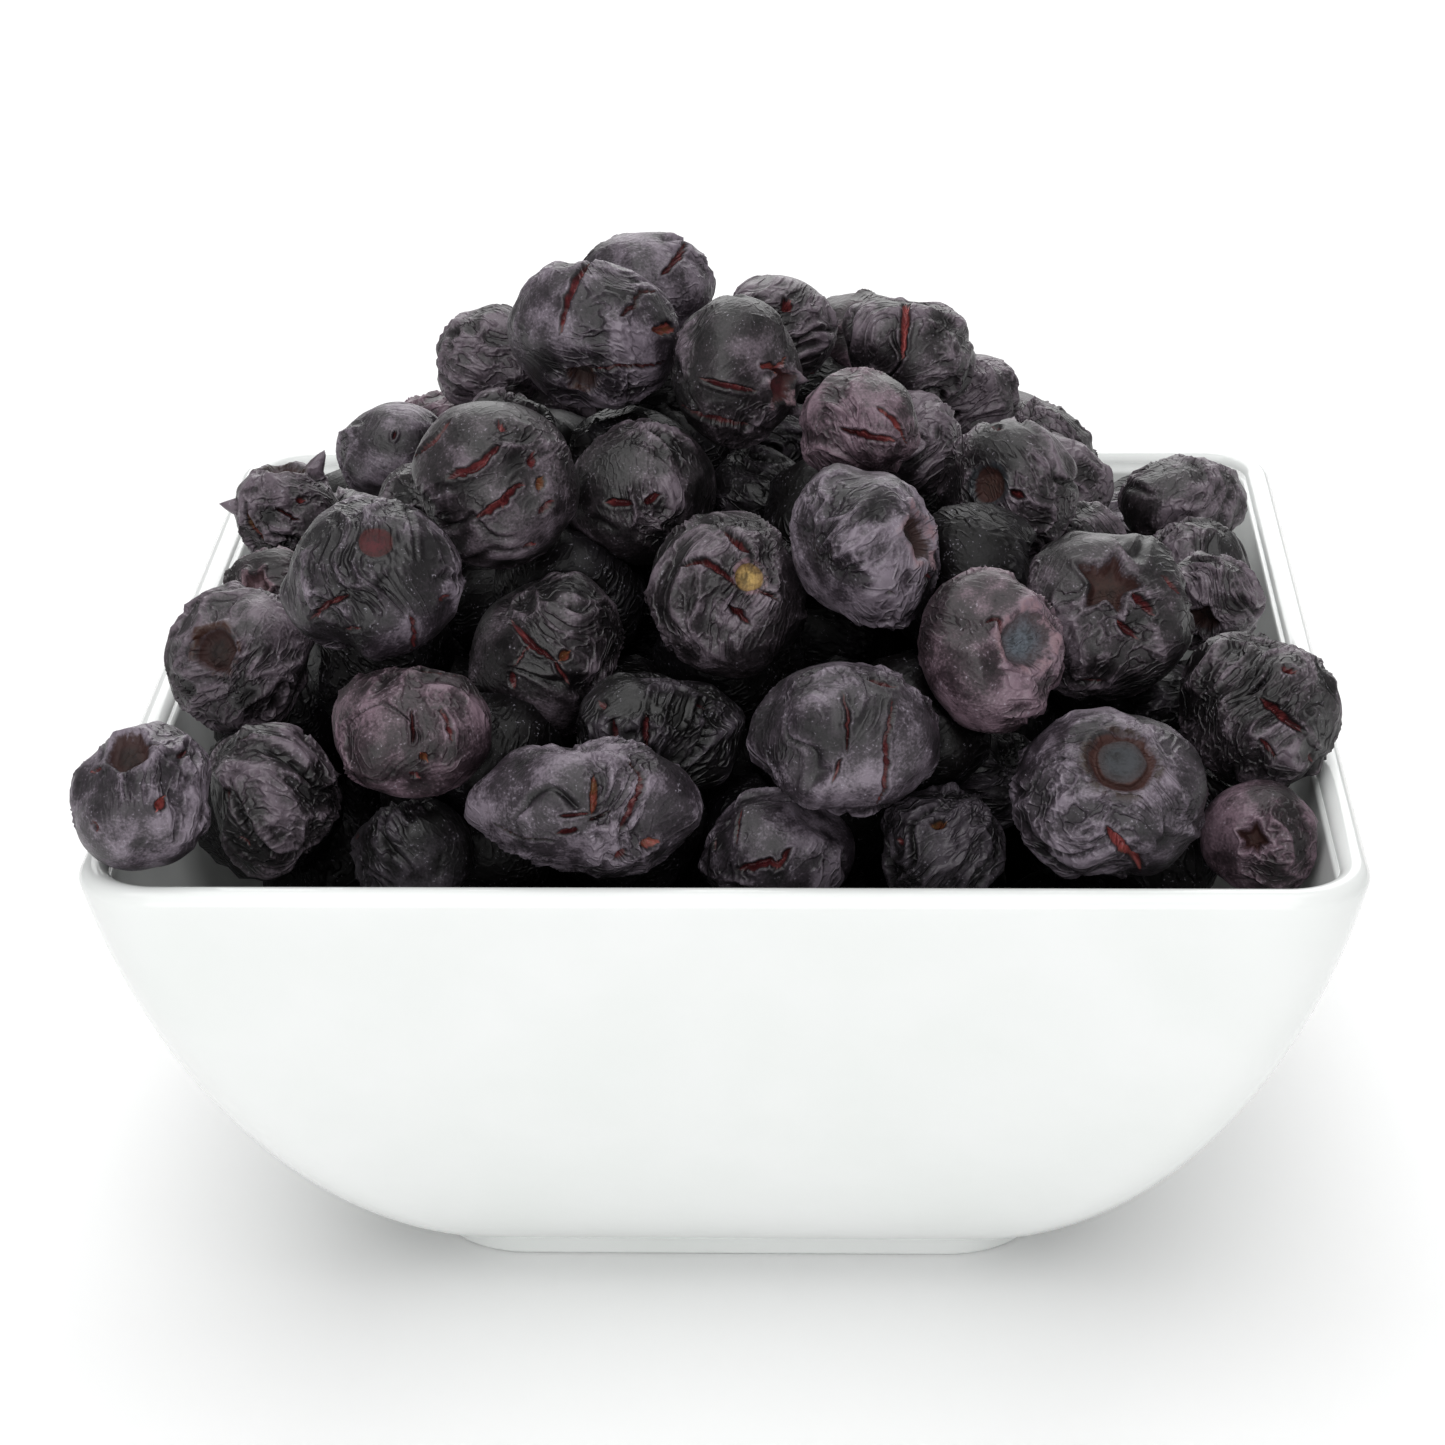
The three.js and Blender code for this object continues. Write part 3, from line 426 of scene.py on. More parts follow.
                ([(-0.2, 0.2), (0.3, -0.1)], 0.12, 0.3), ([(0.3, 0.4), (0.38, 0.33)], 0.3, 0.3)],
        mark=(2.4, 1.0, 0.3, 0.2, 0.1, 0.1),
        shards=[(0.5, 0.86, 0.9, 2.2), (-0.97, 0.2, 0.9, 1.6), (-0.85, -0.1, 0.7, 0.7)]),
    "left_oval": dict(
        half=(6.4, 6.1, 5.7), crown=(-3, -8, 5), skin="charcoal", pale=0.1, wrinkles=0.6,
        mark=(2.3, 1.0, 0.1, 0.1, 0.1, 0.25), shards=[(-0.45, -0.1, 0.6, 0.7)]),
    "purple": dict(
        half=(6.7, 5.6, 5.1), crown=(0, 4, -7), skin="rosy", pale=0.1, wrinkles=0.2,
        splits=[([(0.0, 0.3), (0.02, -0.24)], 0.14, 0.3), ([(0.14, -0.45), (0.2, -0.55)], 0.4, 0.65),
                ([(0.34, 0.32), (0.45, 0.0), (0.48, -0.2)], 0.16, 0.3),
                ([(0.0, -0.76), (0.08, -0.8)], 0.3, 0.3),
                ([(0.02, 0.85), (0.3, 0.86), (0.58, 0.78)], 0.2, 0.3)]),
    "ridged": dict(
        half=(5.4, 5.1, 6.4), crown=(-2, 1, 10), skin="charcoal", pale=-0.25, wrinkles=1.0,
        splits=[([(-0.7, 0.1), (-0.68, -0.1)], 0.3, 0.3), ([(-0.5, -0.55), (-0.38, -0.62)], 0.3, 0.3),
                ([(-0.5, 0.7), (-0.35, 0.78)], 0.22, 0.3)]),
    "front_left": dict(
        half=(5.4, 6.1, 5.8), crown=(-1, -4, 9), skin="bloomed", pale=0.05, wrinkles=0.3,
        splits=[([(-0.85, 0.35), (-0.65, 0.42)], 0.3, 0.3), ([(0.2, -0.15), (0.32, -0.05)], 0.35, 0.7),
                ([(0.5, 0.5), (0.64, 0.58)], 0.25, 0.3),
                ([(-0.46, 0.58), (-0.1, 0.72), (0.22, 0.63)], 0.12, 0.3),
                ([(-0.66, -0.35), (-0.6, -0.42)], 0.2, 0.3)],
        mark=(2.2, 0.9, 0.15, 0.2, 0.1, 0)),
    "low_left": dict(half=(5.2, 4.6, 4.8), crown=(3, 5, -8), skin="shaded", pale=-0.05, wrinkles=0.4),
    "gap_left": dict(half=(4.8, 4.4, 4.6), crown=(-3, 9, -1), skin="charcoal", pale=-0.4, wrinkles=0.6),
    "gap_far_left": dict(half=(4.8, 4.6, 4.6), crown=(-9, 3, -1), skin="charcoal", pale=-0.2, wrinkles=0.6),
    "torn_pale": dict(
        half=(4.6, 4.4, 4.6), crown=(-3, -7, 6), skin="rosy", pale=-0.4, wrinkles=0.8,
        mark=(1.9, 0.9, 0.3, 0.3, 0.85, 0.85)),
    "gap_low_right": dict(half=(5.2, 4.8, 5), crown=(2, 7, -7), skin="shaded", pale=-0.1, wrinkles=0.6),
    "gap_right": dict(half=(5, 4.8, 4.8), crown=(8, 6, -2), skin="shaded", wrinkles=0.6),
    "gap_star": dict(half=(5, 4.8, 4.8), crown=(7, 5, -5), skin="shaded", pale=-0.3, wrinkles=0.8),
    "gap_top": dict(half=(4.8, 4.6, 4.6), crown=(0, 10, 1), skin="shaded", wrinkles=0.6),
    "back_top": dict(
        half=(6.4, 6, 5.8), crown=(2, 6, 8), skin="bloomed", wrinkles=0.3,
        mark=(2.3, 0.9, 0.2, 0.2, 0.1, 0)),
    "back_top_left": dict(
        half=(6, 5.6, 5.8), crown=(-6, 5, 6), skin="charcoal", wrinkles=0.6,
        mark=(2, 0.8, 0.1, 0.2, 0.1, 0)),
    "back_top_right": dict(
        half=(5.6, 5.4, 5.6), crown=(7, 6, -3), skin="rosy", wrinkles=0.4,
        mark=(2, 0.8, 0.2, 0.2, 0.1, 0)),
    "back_middle": dict(
        half=(6.6, 6.2, 6), crown=(-3, 9, 2), skin="charcoal", wrinkles=0.5,
        mark=(2.4, 1.1, 0.3, 0.2, 0.1, 0)),
    "back_middle_left": dict(half=(5.8, 5.8, 6.4), crown=(-8, -2, 6), skin="bloomed", wrinkles=0.3),
    "back_middle_right": dict(half=(6, 5.6, 5.8), crown=(4, 3, -9), skin="bloomed", wrinkles=0.5),
    "back_left": dict(
        half=(6.2, 6, 5.6), crown=(-7, 7, 3), skin="rosy", wrinkles=0.4,
        mark=(2.2, 0.9, 0.15, 0.2, 0.1, 0)),
    "back_right": dict(
        half=(6, 5.8, 6), crown=(8, 4, 5), skin="charcoal", wrinkles=0.7,
        mark=(2.1, 0.8, 0.2, 0.2, 0.1, 0)),
    "back_rim_left": dict(half=(5.6, 5.4, 5.6), crown=(-5, -7, 5), skin="charcoal", wrinkles=0.5),
    "back_rim_right": dict(
        half=(5.8, 5.6, 5.4), crown=(6, 7, 4), skin="bloomed", wrinkles=0.5,
        mark=(2, 0.8, 0.1, 0.2, 0.1, 0)),
}
# A berry's solid has the same dents, and its corners stand out so that its flat faces keep its size
DENT_DEPTH = 0.06
DENT_COUNTS = (3, 4.2, 5.4)
CORNER_SWELL = 1.033
DRAW_MULTIPLIER = 16807
DRAW_PRIME = 2 ** 31 - 1


def seeded_draws(seed, count):
    """Numbers from 0 to 1, each the last times a multiplier, less whole multiples of a prime."""
    state, drawn = seed, []
    for _ in range(count):
        state = state * DRAW_MULTIPLIER % DRAW_PRIME
        drawn.append(state / DRAW_PRIME)
    return np.array(drawn)


def dent_depth(seed, ways):
    """Dents from 0 to 1: the mean of three sine waves, each along an axis of its own."""
    drawn = seeded_draws(seed, 12).reshape(3, 4)
    axes = drawn[:, :3] - 0.5
    axes /= np.linalg.norm(axes, axis=1, keepdims=True)
    waves = np.sin(np.array(DENT_COUNTS) * (ways @ axes.T) + drawn[:, 3] * 2 * math.pi)
    return (1 - waves.mean(1)) / 2


def own_axes(crown):
    """A berry's width, height and length axes as rows, the last towards its crown."""
    length = np.array(crown, float) / np.linalg.norm(crown)
    width = np.array([-length[1], length[0], 0])
    width /= np.linalg.norm(width)
    return np.stack([width, np.cross(length, width), length])


def outline(half, ways):
    """How far an ellipsoid's surface lies from its middle in each direction."""
    return 1 / np.linalg.norm(ways / half, axis=1)


FIT_ROUNDS = 60
FIT_SLACK = 0.003


def middle_of(node, half, axes, seed):
    """Where a berry lies: the middle whose dented ellipsoid fits most of its solid's corners, found by
    least squares in which corners that are cut back by a neighbour count for little."""
    corners = np.array([v.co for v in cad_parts[node].data.vertices]) / MM
    corners = np.unique(np.round(corners, 4), axis=0)
    middle = (corners.min(0) + corners.max(0)) / 2
    for _ in range(FIT_ROUNDS):
        local = (corners - middle) @ axes.T
        reach = np.linalg.norm(local / half, axis=1)
        ways = local / np.linalg.norm(local, axis=1, keepdims=True)
        off = reach - CORNER_SWELL * (1 - DENT_DEPTH * dent_depth(seed, ways))
        slope = (local / half ** 2 / reach[:, None]) @ axes
        weight = (1 / (np.abs(off) + FIT_SLACK))[:, None]
        middle += np.linalg.solve((slope * weight).T @ slope, (slope * weight).T @ off)
    return middle


for seed, (name, berry) in enumerate(BERRIES.items(), 1):
    berry["half"] = np.array(berry["half"], float)
    berry["axes"] = own_axes(berry["crown"])
    berry["seed"] = seed
    berry["hidden"] = False
    berry["middle"] = middle_of("berry_" + name, berry["half"], berry["axes"], seed)


# Each berry is drawn closest on the side that shows: to the camera, or away from the heap's core on its back
HEAP_CORE = np.array([0, 0, 25.0])
for name, berry in BERRIES.items():
    towards = berry["middle"] - HEAP_CORE if name.startswith("back") else CAMERA_PLACE - berry["middle"]
    berry["facing"] = towards / np.linalg.norm(towards)


def seen_at(berry, right, up):
    """The point of a berry's outline, in its own frame, seen at shares of its half size across and up."""
    axes, half = berry["axes"], berry["half"]
    sight = CAMERA_PLACE - berry["middle"]
    sight = axes @ (sight / np.linalg.norm(sight))
    start = 0
    for share, way in ((right, axes @ to_right), (up, axes @ to_top)):
        start = start + way * share * np.linalg.norm(half * way)
    a = np.sum((sight / half) ** 2)
    b = np.sum(start * sight / half ** 2)
    c = np.sum((start / half) ** 2) - 1
    point = start + sight * (math.sqrt(max(b * b - a * c, 0)) - b) / a
    return point / np.linalg.norm(point / half)


NOISE_CELLS = 32


def smooth_noise(points, size, seed):
    """Noise of about -1 to 1: values drawn for cells of a size in millimetres, joined by smooth steps."""
    table = np.random.default_rng(seed).uniform(-1.6, 1.6, NOISE_CELLS ** 3)
    at = points / size
    low = np.floor(at).astype(int)
    part = at - low
    part = part ** 3 * (part * (6 * part - 15) + 10)
    total = 0
    for corner in np.ndindex(2, 2, 2):
        share = np.where(corner, part, 1 - part).prod(1)
        cell = (low + corner) % NOISE_CELLS
        total = total + share * table[cell @ [NOISE_CELLS ** 2, NOISE_CELLS, 1]]
    return total


def smooth_step(low, high, value):
    """0 below the low value, 1 above the high one, and 3 s s - 2 s s s between them."""
    share = np.clip((value - low) / (high - low), 0, 1)
    return share * share * (3 - 2 * share)


# Cracks out of the front view: how many, how far round the berry each runs in radians, how much it bends,
# its widest half opening, and its flesh's tone, mostly dark red. They start where the way out of the berry
# points less than BEHIND towards the camera and less than NEAR_CROWN along the crown's axis.
SPLITS_BEHIND = 4
SPLIT_RUNS = (0.25, 0.65)
SPLIT_BEND = 0.05
SPLIT_OPENINGS = (0.12, 0.34)
SPLIT_TONES = (0.25, 0.3, 0.3, 0.6)
BEHIND = -0.15
NEAR_CROWN = 0.75


def splits_out_of_sight(berry, rng):
    """Cracks on the side turned from the camera, clear of the crown. Each is part of a great circle,
    start * cos(a) + heading * sin(a), bent a little and put on the berry's outline."""
    sight = berry["axes"] @ (CAMERA_PLACE - berry["middle"])
    sight /= np.linalg.norm(sight)
    found = []
    while len(found) < SPLITS_BEHIND:
        start, heading, bend = rng.normal(size=(3, 3))
        start /= np.linalg.norm(start)
        heading = np.cross(start, heading)
        heading /= np.linalg.norm(heading)
        if start @ sight < BEHIND and start[2] < NEAR_CROWN:
            angle = np.linspace(0, rng.uniform(*SPLIT_RUNS), 3)[:, None]
            path = start * np.cos(angle) + heading * np.sin(angle) + SPLIT_BEND * bend * angle
            path /= np.linalg.norm(path / berry["half"], axis=1, keepdims=True)
            found.append((path, rng.uniform(*SPLIT_OPENINGS), rng.choice(SPLIT_TONES)))
    return found


SPLIT_STEP = 0.35
SPLIT_JAG = 0.06
FAR = 9.0
NO_SPLIT = (FAR, FAR, 0.1, 0.3)


def nearest_split(berry, skin, rng):
    """For each point of the skin, of the split whose edge is nearest: how far across it the point lies, how
    far from its middle line, its half opening there, and its tone. A split is a jagged line that narrows
    to both ends: opening = widest * sqrt(sin(pi s)) * (0.7 to 1.3)."""
    best = np.tile(NO_SPLIT, (len(skin), 1))
    splits = [(np.array([seen_at(berry, *at) for at in seen]), widest, tone)
              for seen, widest, tone in berry.get("splits", ())]
    for path, widest, tone in splits + ([] if berry["hidden"] else splits_out_of_sight(berry, rng)):
        run = np.concatenate([[0], np.cumsum(np.linalg.norm(np.diff(path, axis=0), axis=1))])
        count = max(int(run[-1] / SPLIT_STEP), 3) + 1
        share = np.linspace(0, 1, count)
        line = np.stack([np.interp(share * run[-1], run, path[:, i]) for i in range(3)], 1)
        out = line / berry["half"] ** 2
        side = np.cross(out, np.gradient(line, axis=0))
        line += side / np.linalg.norm(side, axis=1, keepdims=True) * rng.normal(0, SPLIT_JAG, (count, 1))
        line /= np.linalg.norm(line / berry["half"], axis=1, keepdims=True)
        opening = widest * np.sqrt(np.sin(math.pi * share)) * rng.uniform(0.7, 1.3, count)
        start, step = line[:-1], np.diff(line, axis=0)
        arm = skin[:, None] - start
        along = np.clip((arm * step).sum(2) / (step ** 2).sum(1), 0, 1)
        distance = np.linalg.norm(arm - along[..., None] * step, axis=2)
        half = opening[:-1] + along * np.diff(opening)
        near = (distance - half).argmin(1)[:, None]
        pick = [np.take_along_axis(values, near, 1)[:, 0] for values in (distance, half)]
        turn = np.cross(step[near[:, 0]], arm[np.arange(len(skin)), near[:, 0]])
        across = np.copysign(pick[0], (turn * skin).sum(1))
        found = np.stack([across, pick[0], pick[1], np.full(len(skin), tone)], 1)
        closer = pick[0] - pick[1] < best[:, 1] - best[:, 2]
        best[closer] = found[closer]
    return best


# How far the whole skin has shrunk in, how deep it sags and folds, how high its wrinkles stand, and the
# sizes of the noises that place them. A swirl bends their run, and a stretch draws it out along the grain.
SKIN_DROP = 0.12
SAG, SAG_SIZE = 0.9, 5.2
FOLD, FOLD_SIZE, FOLDED_SIZE = 0.6, 4.6, 5.0
WRINKLE, WRINKLE_SIZE = 0.52, 1.9
FINE_WRINKLE, FINE_SIZE = 0.08, 1.15
WRINKLED_SIZE = 4.4
SWIRL, SWIRL_SIZE = 0.95, 4.5
STRETCH = 0.6
BLOOM_SIZE, RUB_SIZE = 4.2, 1.6
SEED_SHIFT = 37.0
# A crack's depth, the share of its half opening that it gains, and how far its edges curl up
TRENCH, TRENCH_SHARE = 0.35, 1.5
CURL = 0.12
# The crown's scar has five sepals and a low lip. Where its floor has the disc's tone it still holds the
# dried disc of the flower, which rises again by a share of the scar's depth.
SEPAL_COUNT = 5
CROWN_LIP = 0.15
DISC_TONE = 0.7
DISC_RISE = 0.6
# The stem's scar has a lip too. Skin far from any scar is given as this many radii away from one.
STEM_LIP = 0.22
UNMARKED = 3.0


def crest(noise, width):
    """1 where noise is zero, falling evenly to 0 where it is the width away."""
    return 1 - np.minimum(np.abs(noise) / width, 1)


def dried_skin(berry, ways):
    """A berry's reach in each direction of its own frame, and the patterns its material reads.
    reach = outline * (1 - 0.06 dents) - sags - folds + ridges - splits - pits + curls + lips + shards. A
    sag is a smooth step of noise 5 mm wide. A fold runs along where noise 5 mm wide is zero, and a ridge
    where noise 1 to 2 mm wide is. Both run mostly one way over the berry, as their noise is drawn out 2.5
    times along its grain. A crack, a scar and a shard each rise and fall with the distance from them."""
    half, seed = berry["half"], berry["seed"]
    rng = np.random.default_rng(seed)
    skin = ways * outline(half, ways)[:, None]
    spread = skin + SEED_SHIFT * seed
    swirl = np.stack([smooth_noise(spread, SWIRL_SIZE, i) for i in range(3)], 1)
    grain = np.cross(berry["axes"] @ berry["facing"], rng.normal(size=3))
    grain /= np.linalg.norm(grain)
    flow = spread + SWIRL * swirl
    flow -= STRETCH * (flow @ grain)[:, None] * grain
    patch = smooth_noise(spread, WRINKLED_SIZE, 3)
    wrinkled = smooth_step(0.75, -0.35, patch - 1.3 * (berry["wrinkles"] - 0.5))
    sag = smooth_noise(spread, SAG_SIZE, 4)
    fold_line = np.abs(smooth_noise(flow + 0.5 * swirl, FOLD_SIZE, 5))
    folded = smooth_step(0.1, 0.7, smooth_noise(spread, FOLDED_SIZE, 6) + 0.3)
    fold = (np.exp(-(fold_line / 0.07) ** 2) - 0.45 * np.exp(-((fold_line - 0.2) / 0.1) ** 2)) * folded
    fold *= 0.4 + 0.6 * berry["wrinkles"]
    ridge = WRINKLE * crest(smooth_noise(flow, WRINKLE_SIZE, 7), 0.75) ** 1.5 * wrinkled
    ridge += FINE_WRINKLE * crest(smooth_noise(flow, FINE_SIZE, 8), 0.8) * wrinkled
    rise = ridge - FOLD * fold
    drop = SAG * smooth_step(-0.2, 1.2, sag) + 0.5 * WRINKLE * wrinkled + SKIN_DROP

    split = nearest_split(berry, skin, rng)
    edge = split[:, 1] - split[:, 2]
    trench = (TRENCH + TRENCH_SHARE * split[:, 2]) * smooth_step(0.15, -0.75, edge / (split[:, 2] + 0.05))
    curl = CURL * np.exp(-((edge - 0.2) / 0.16) ** 2)
    rise = rise * smooth_step(-0.1, 0.3, edge) + curl

    mark = np.tile([UNMARKED, 0, 0], (len(ways), 1))
    pit = np.zeros(len(ways))
    if "mark" in berry:
        radius, depth, starred, sepals, floor_tone, rim_tone = berry["mark"]
        around = np.arctan2(ways[:, 1], ways[:, 0]) + 0.25 * swirl[:, 0]
        from_axis = np.where(ways[:, 2] > 0, np.hypot(skin[:, 0], skin[:, 1]) + 0.12 * swirl[:, 1], FAR)
        lobe = np.abs(np.sin(SEPAL_COUNT / 2 * around))
        share = from_axis / (radius * (1 - starred * lobe))
        disc = DISC_RISE if floor_tone == DISC_TONE else 0.0
        pit = depth * (smooth_step(1.02, 0.86, share) - disc * smooth_step(0.84, 0.72, share))
        lip = CROWN_LIP * np.exp(-((share - 1.14) / 0.11) ** 2)
        sepal = sepals * (1 - lobe) ** 1.5 * np.exp(-((from_axis / radius - 1.1) / 0.2) ** 2)
        rise = rise * smooth_step(0.8, 1.4, share) + lip + sepal
        tones = np.tile([floor_tone, rim_tone], (len(ways), 1))
        mark = np.column_stack([np.minimum(share, UNMARKED), tones])
    if "scar" in berry:
        seen, radius, sunk, floor_tone, rim_tone = berry["scar"]
        share = np.linalg.norm(skin - seen_at(berry, *seen), axis=1) / radius
        lip = STEM_LIP * np.exp(-((share - 1.15) / 0.25) ** 2)
        pit = pit + sunk * smooth_step(1.9, 0.5, share) - lip
        rise = rise * smooth_step(0.8, 1.8, share)
        tones = np.tile([floor_tone, rim_tone], (len(ways), 1))
        mark = np.where((share < mark[:, 0])[:, None], np.column_stack([share, tones]), mark)

    for right, up, width, height in berry.get("shards", ()):
        away = np.linalg.norm(skin - seen_at(berry, right, up), axis=1)
        rise = rise + height * np.maximum(1 - away / width, 0)

    bloom = 0.5 + 0.3 * smooth_noise(spread, BLOOM_SIZE, 9) + 0.24 * smooth_noise(spread, RUB_SIZE, 10)
    bloom -= 0.2 * wrinkled
    reach = outline(half, ways) * (1 - DENT_DEPTH * dent_depth(seed, ways)) - drop + rise - trench - pit
    # The material paints the skin paler where it rises and darker in folds: a painted highlight and painted
    # shade.
    finish = np.stack([bloom + berry.get("pale", 0), rise, wrinkled], 1)
    return reach, {
        "finish": finish, "flow": flow, "split": split[:, :3], "split_tone": split[:, 3], "mark": mark}


# Berries whose middles are a span apart can't touch. The gaps keep each piece clear of its neighbours.
BERRY_SPAN = 18
CONTACT_GAP = 0.2
BOWL_GAP = 0.45


def room_between(berry, other, directions):
    """How far a berry may reach in each direction. Two shown or two hidden berries meet where both outlines
    are blown up alike: |o + t s| = t |u|, with o and u in the berries' half sizes. A hidden berry stops
    at a shown one's outline: |o + t s| = 1. The smaller root t is taken, less half the gap."""
    offset = other["axes"] @ (berry["middle"] - other["middle"]) / other["half"]
    slope = directions @ other["axes"].T / other["half"]
    own = np.linalg.norm(directions @ berry["axes"].T / berry["half"], axis=1)
    alike = other["hidden"] == berry["hidden"]
    a = (slope ** 2).sum(1) - (own ** 2 if alike else 0)
    b = slope @ offset
    c = offset @ offset - (0 if alike else 1)
    inside = np.maximum(b * b - a * c, 0)
    meets = (b * b > a * c) & (np.sqrt(inside) > b)
    return np.where(meets, c / np.maximum(np.sqrt(inside) - b, 1e-9), FAR * 2) - CONTACT_GAP / 2


def clears_bowl(points):
    """Whether points lie in the cavity or over the lip with the gap between them and the glaze."""
    across, height = np.abs(points[:, :2]), points[:, 2]

    def beyond(half, corner):
        over = across - (half - corner)[:, None]
        return np.linalg.norm(np.maximum(over, 0), axis=1) - corner + np.minimum(over.max(1), 0)

    half = np.interp(height, inside[::-1, 1], inside[::-1, 0])
    corner = np.interp(height, inside[::-1, 1], inside_corner[::-1])
    in_cavity = (beyond(half, corner) < -BOWL_GAP) & (height > floor_height + BOWL_GAP)
    level = np.full(len(points), RIM_WIDTH / 2 - LIP_RADIUS)
    from_lip = np.hypot(beyond(level, level * 0 + RIM_CORNER - LIP_RADIUS), height - LIP_HEIGHT)
    return np.where(height < LIP_HEIGHT, in_cavity, from_lip > LIP_RADIUS + BOWL_GAP)


FRONT_SPACING = 0.62
AXIS_HINT = (0.2, 0.3, 0.9)
LEAST_SHARE = 0.3
HALVINGS = 10


def berry_mesh(berry, rings, turns):
    """A berry's points, faces and patterns. Rings are drawn round the way it faces, closest together there:
    polar = pi s (0.62 + 0.38 s). Each point is drawn in to clear the neighbours, and the bowl by halving
    the span between a share of its reach that clears it and one that doesn't."""
    share = np.arange(rings + 2) / (rings + 1)
    polar = math.pi * share * (FRONT_SPACING + (1 - FRONT_SPACING) * share)
    facing = berry["facing"]
    side = np.cross(facing, AXIS_HINT)
    side /= np.linalg.norm(side)
    turn = np.arange(turns) / turns * 2 * math.pi
    round_it = np.cos(turn)[:, None] * side - np.sin(turn)[:, None] * np.cross(facing, side)
    directions = np.sin(polar)[:, None, None] * round_it + np.cos(polar)[:, None, None] * facing
    directions = np.concatenate([[facing], directions[1:-1].reshape(-1, 3), [-facing]])
    reach, patterns = dried_skin(berry, directions @ berry["axes"].T)
    for other in every_berry:
        if other is not berry and np.linalg.norm(other["middle"] - berry["middle"]) < BERRY_SPAN:
            if berry["hidden"] or not other["hidden"]:
                reach = np.minimum(reach, room_between(berry, other, directions))
    low, high = np.full(len(reach), LEAST_SHARE), np.ones(len(reach))
    clear = clears_bowl(berry["middle"] + directions * reach[:, None])
    for _ in range(HALVINGS):
        tried = (low + high) / 2
        fits = clears_bowl(berry["middle"] + directions * (reach * tried)[:, None])
        low, high = np.where(fits, tried, low), np.where(fits, high, tried)
    reach = np.where(clear, reach, reach * low)
    points = berry["middle"] + directions * reach[:, None]
    points, faces = closed_skin(points[0], points[1:-1].reshape(rings, turns, 3), points[-1])
    return points, faces, patterns


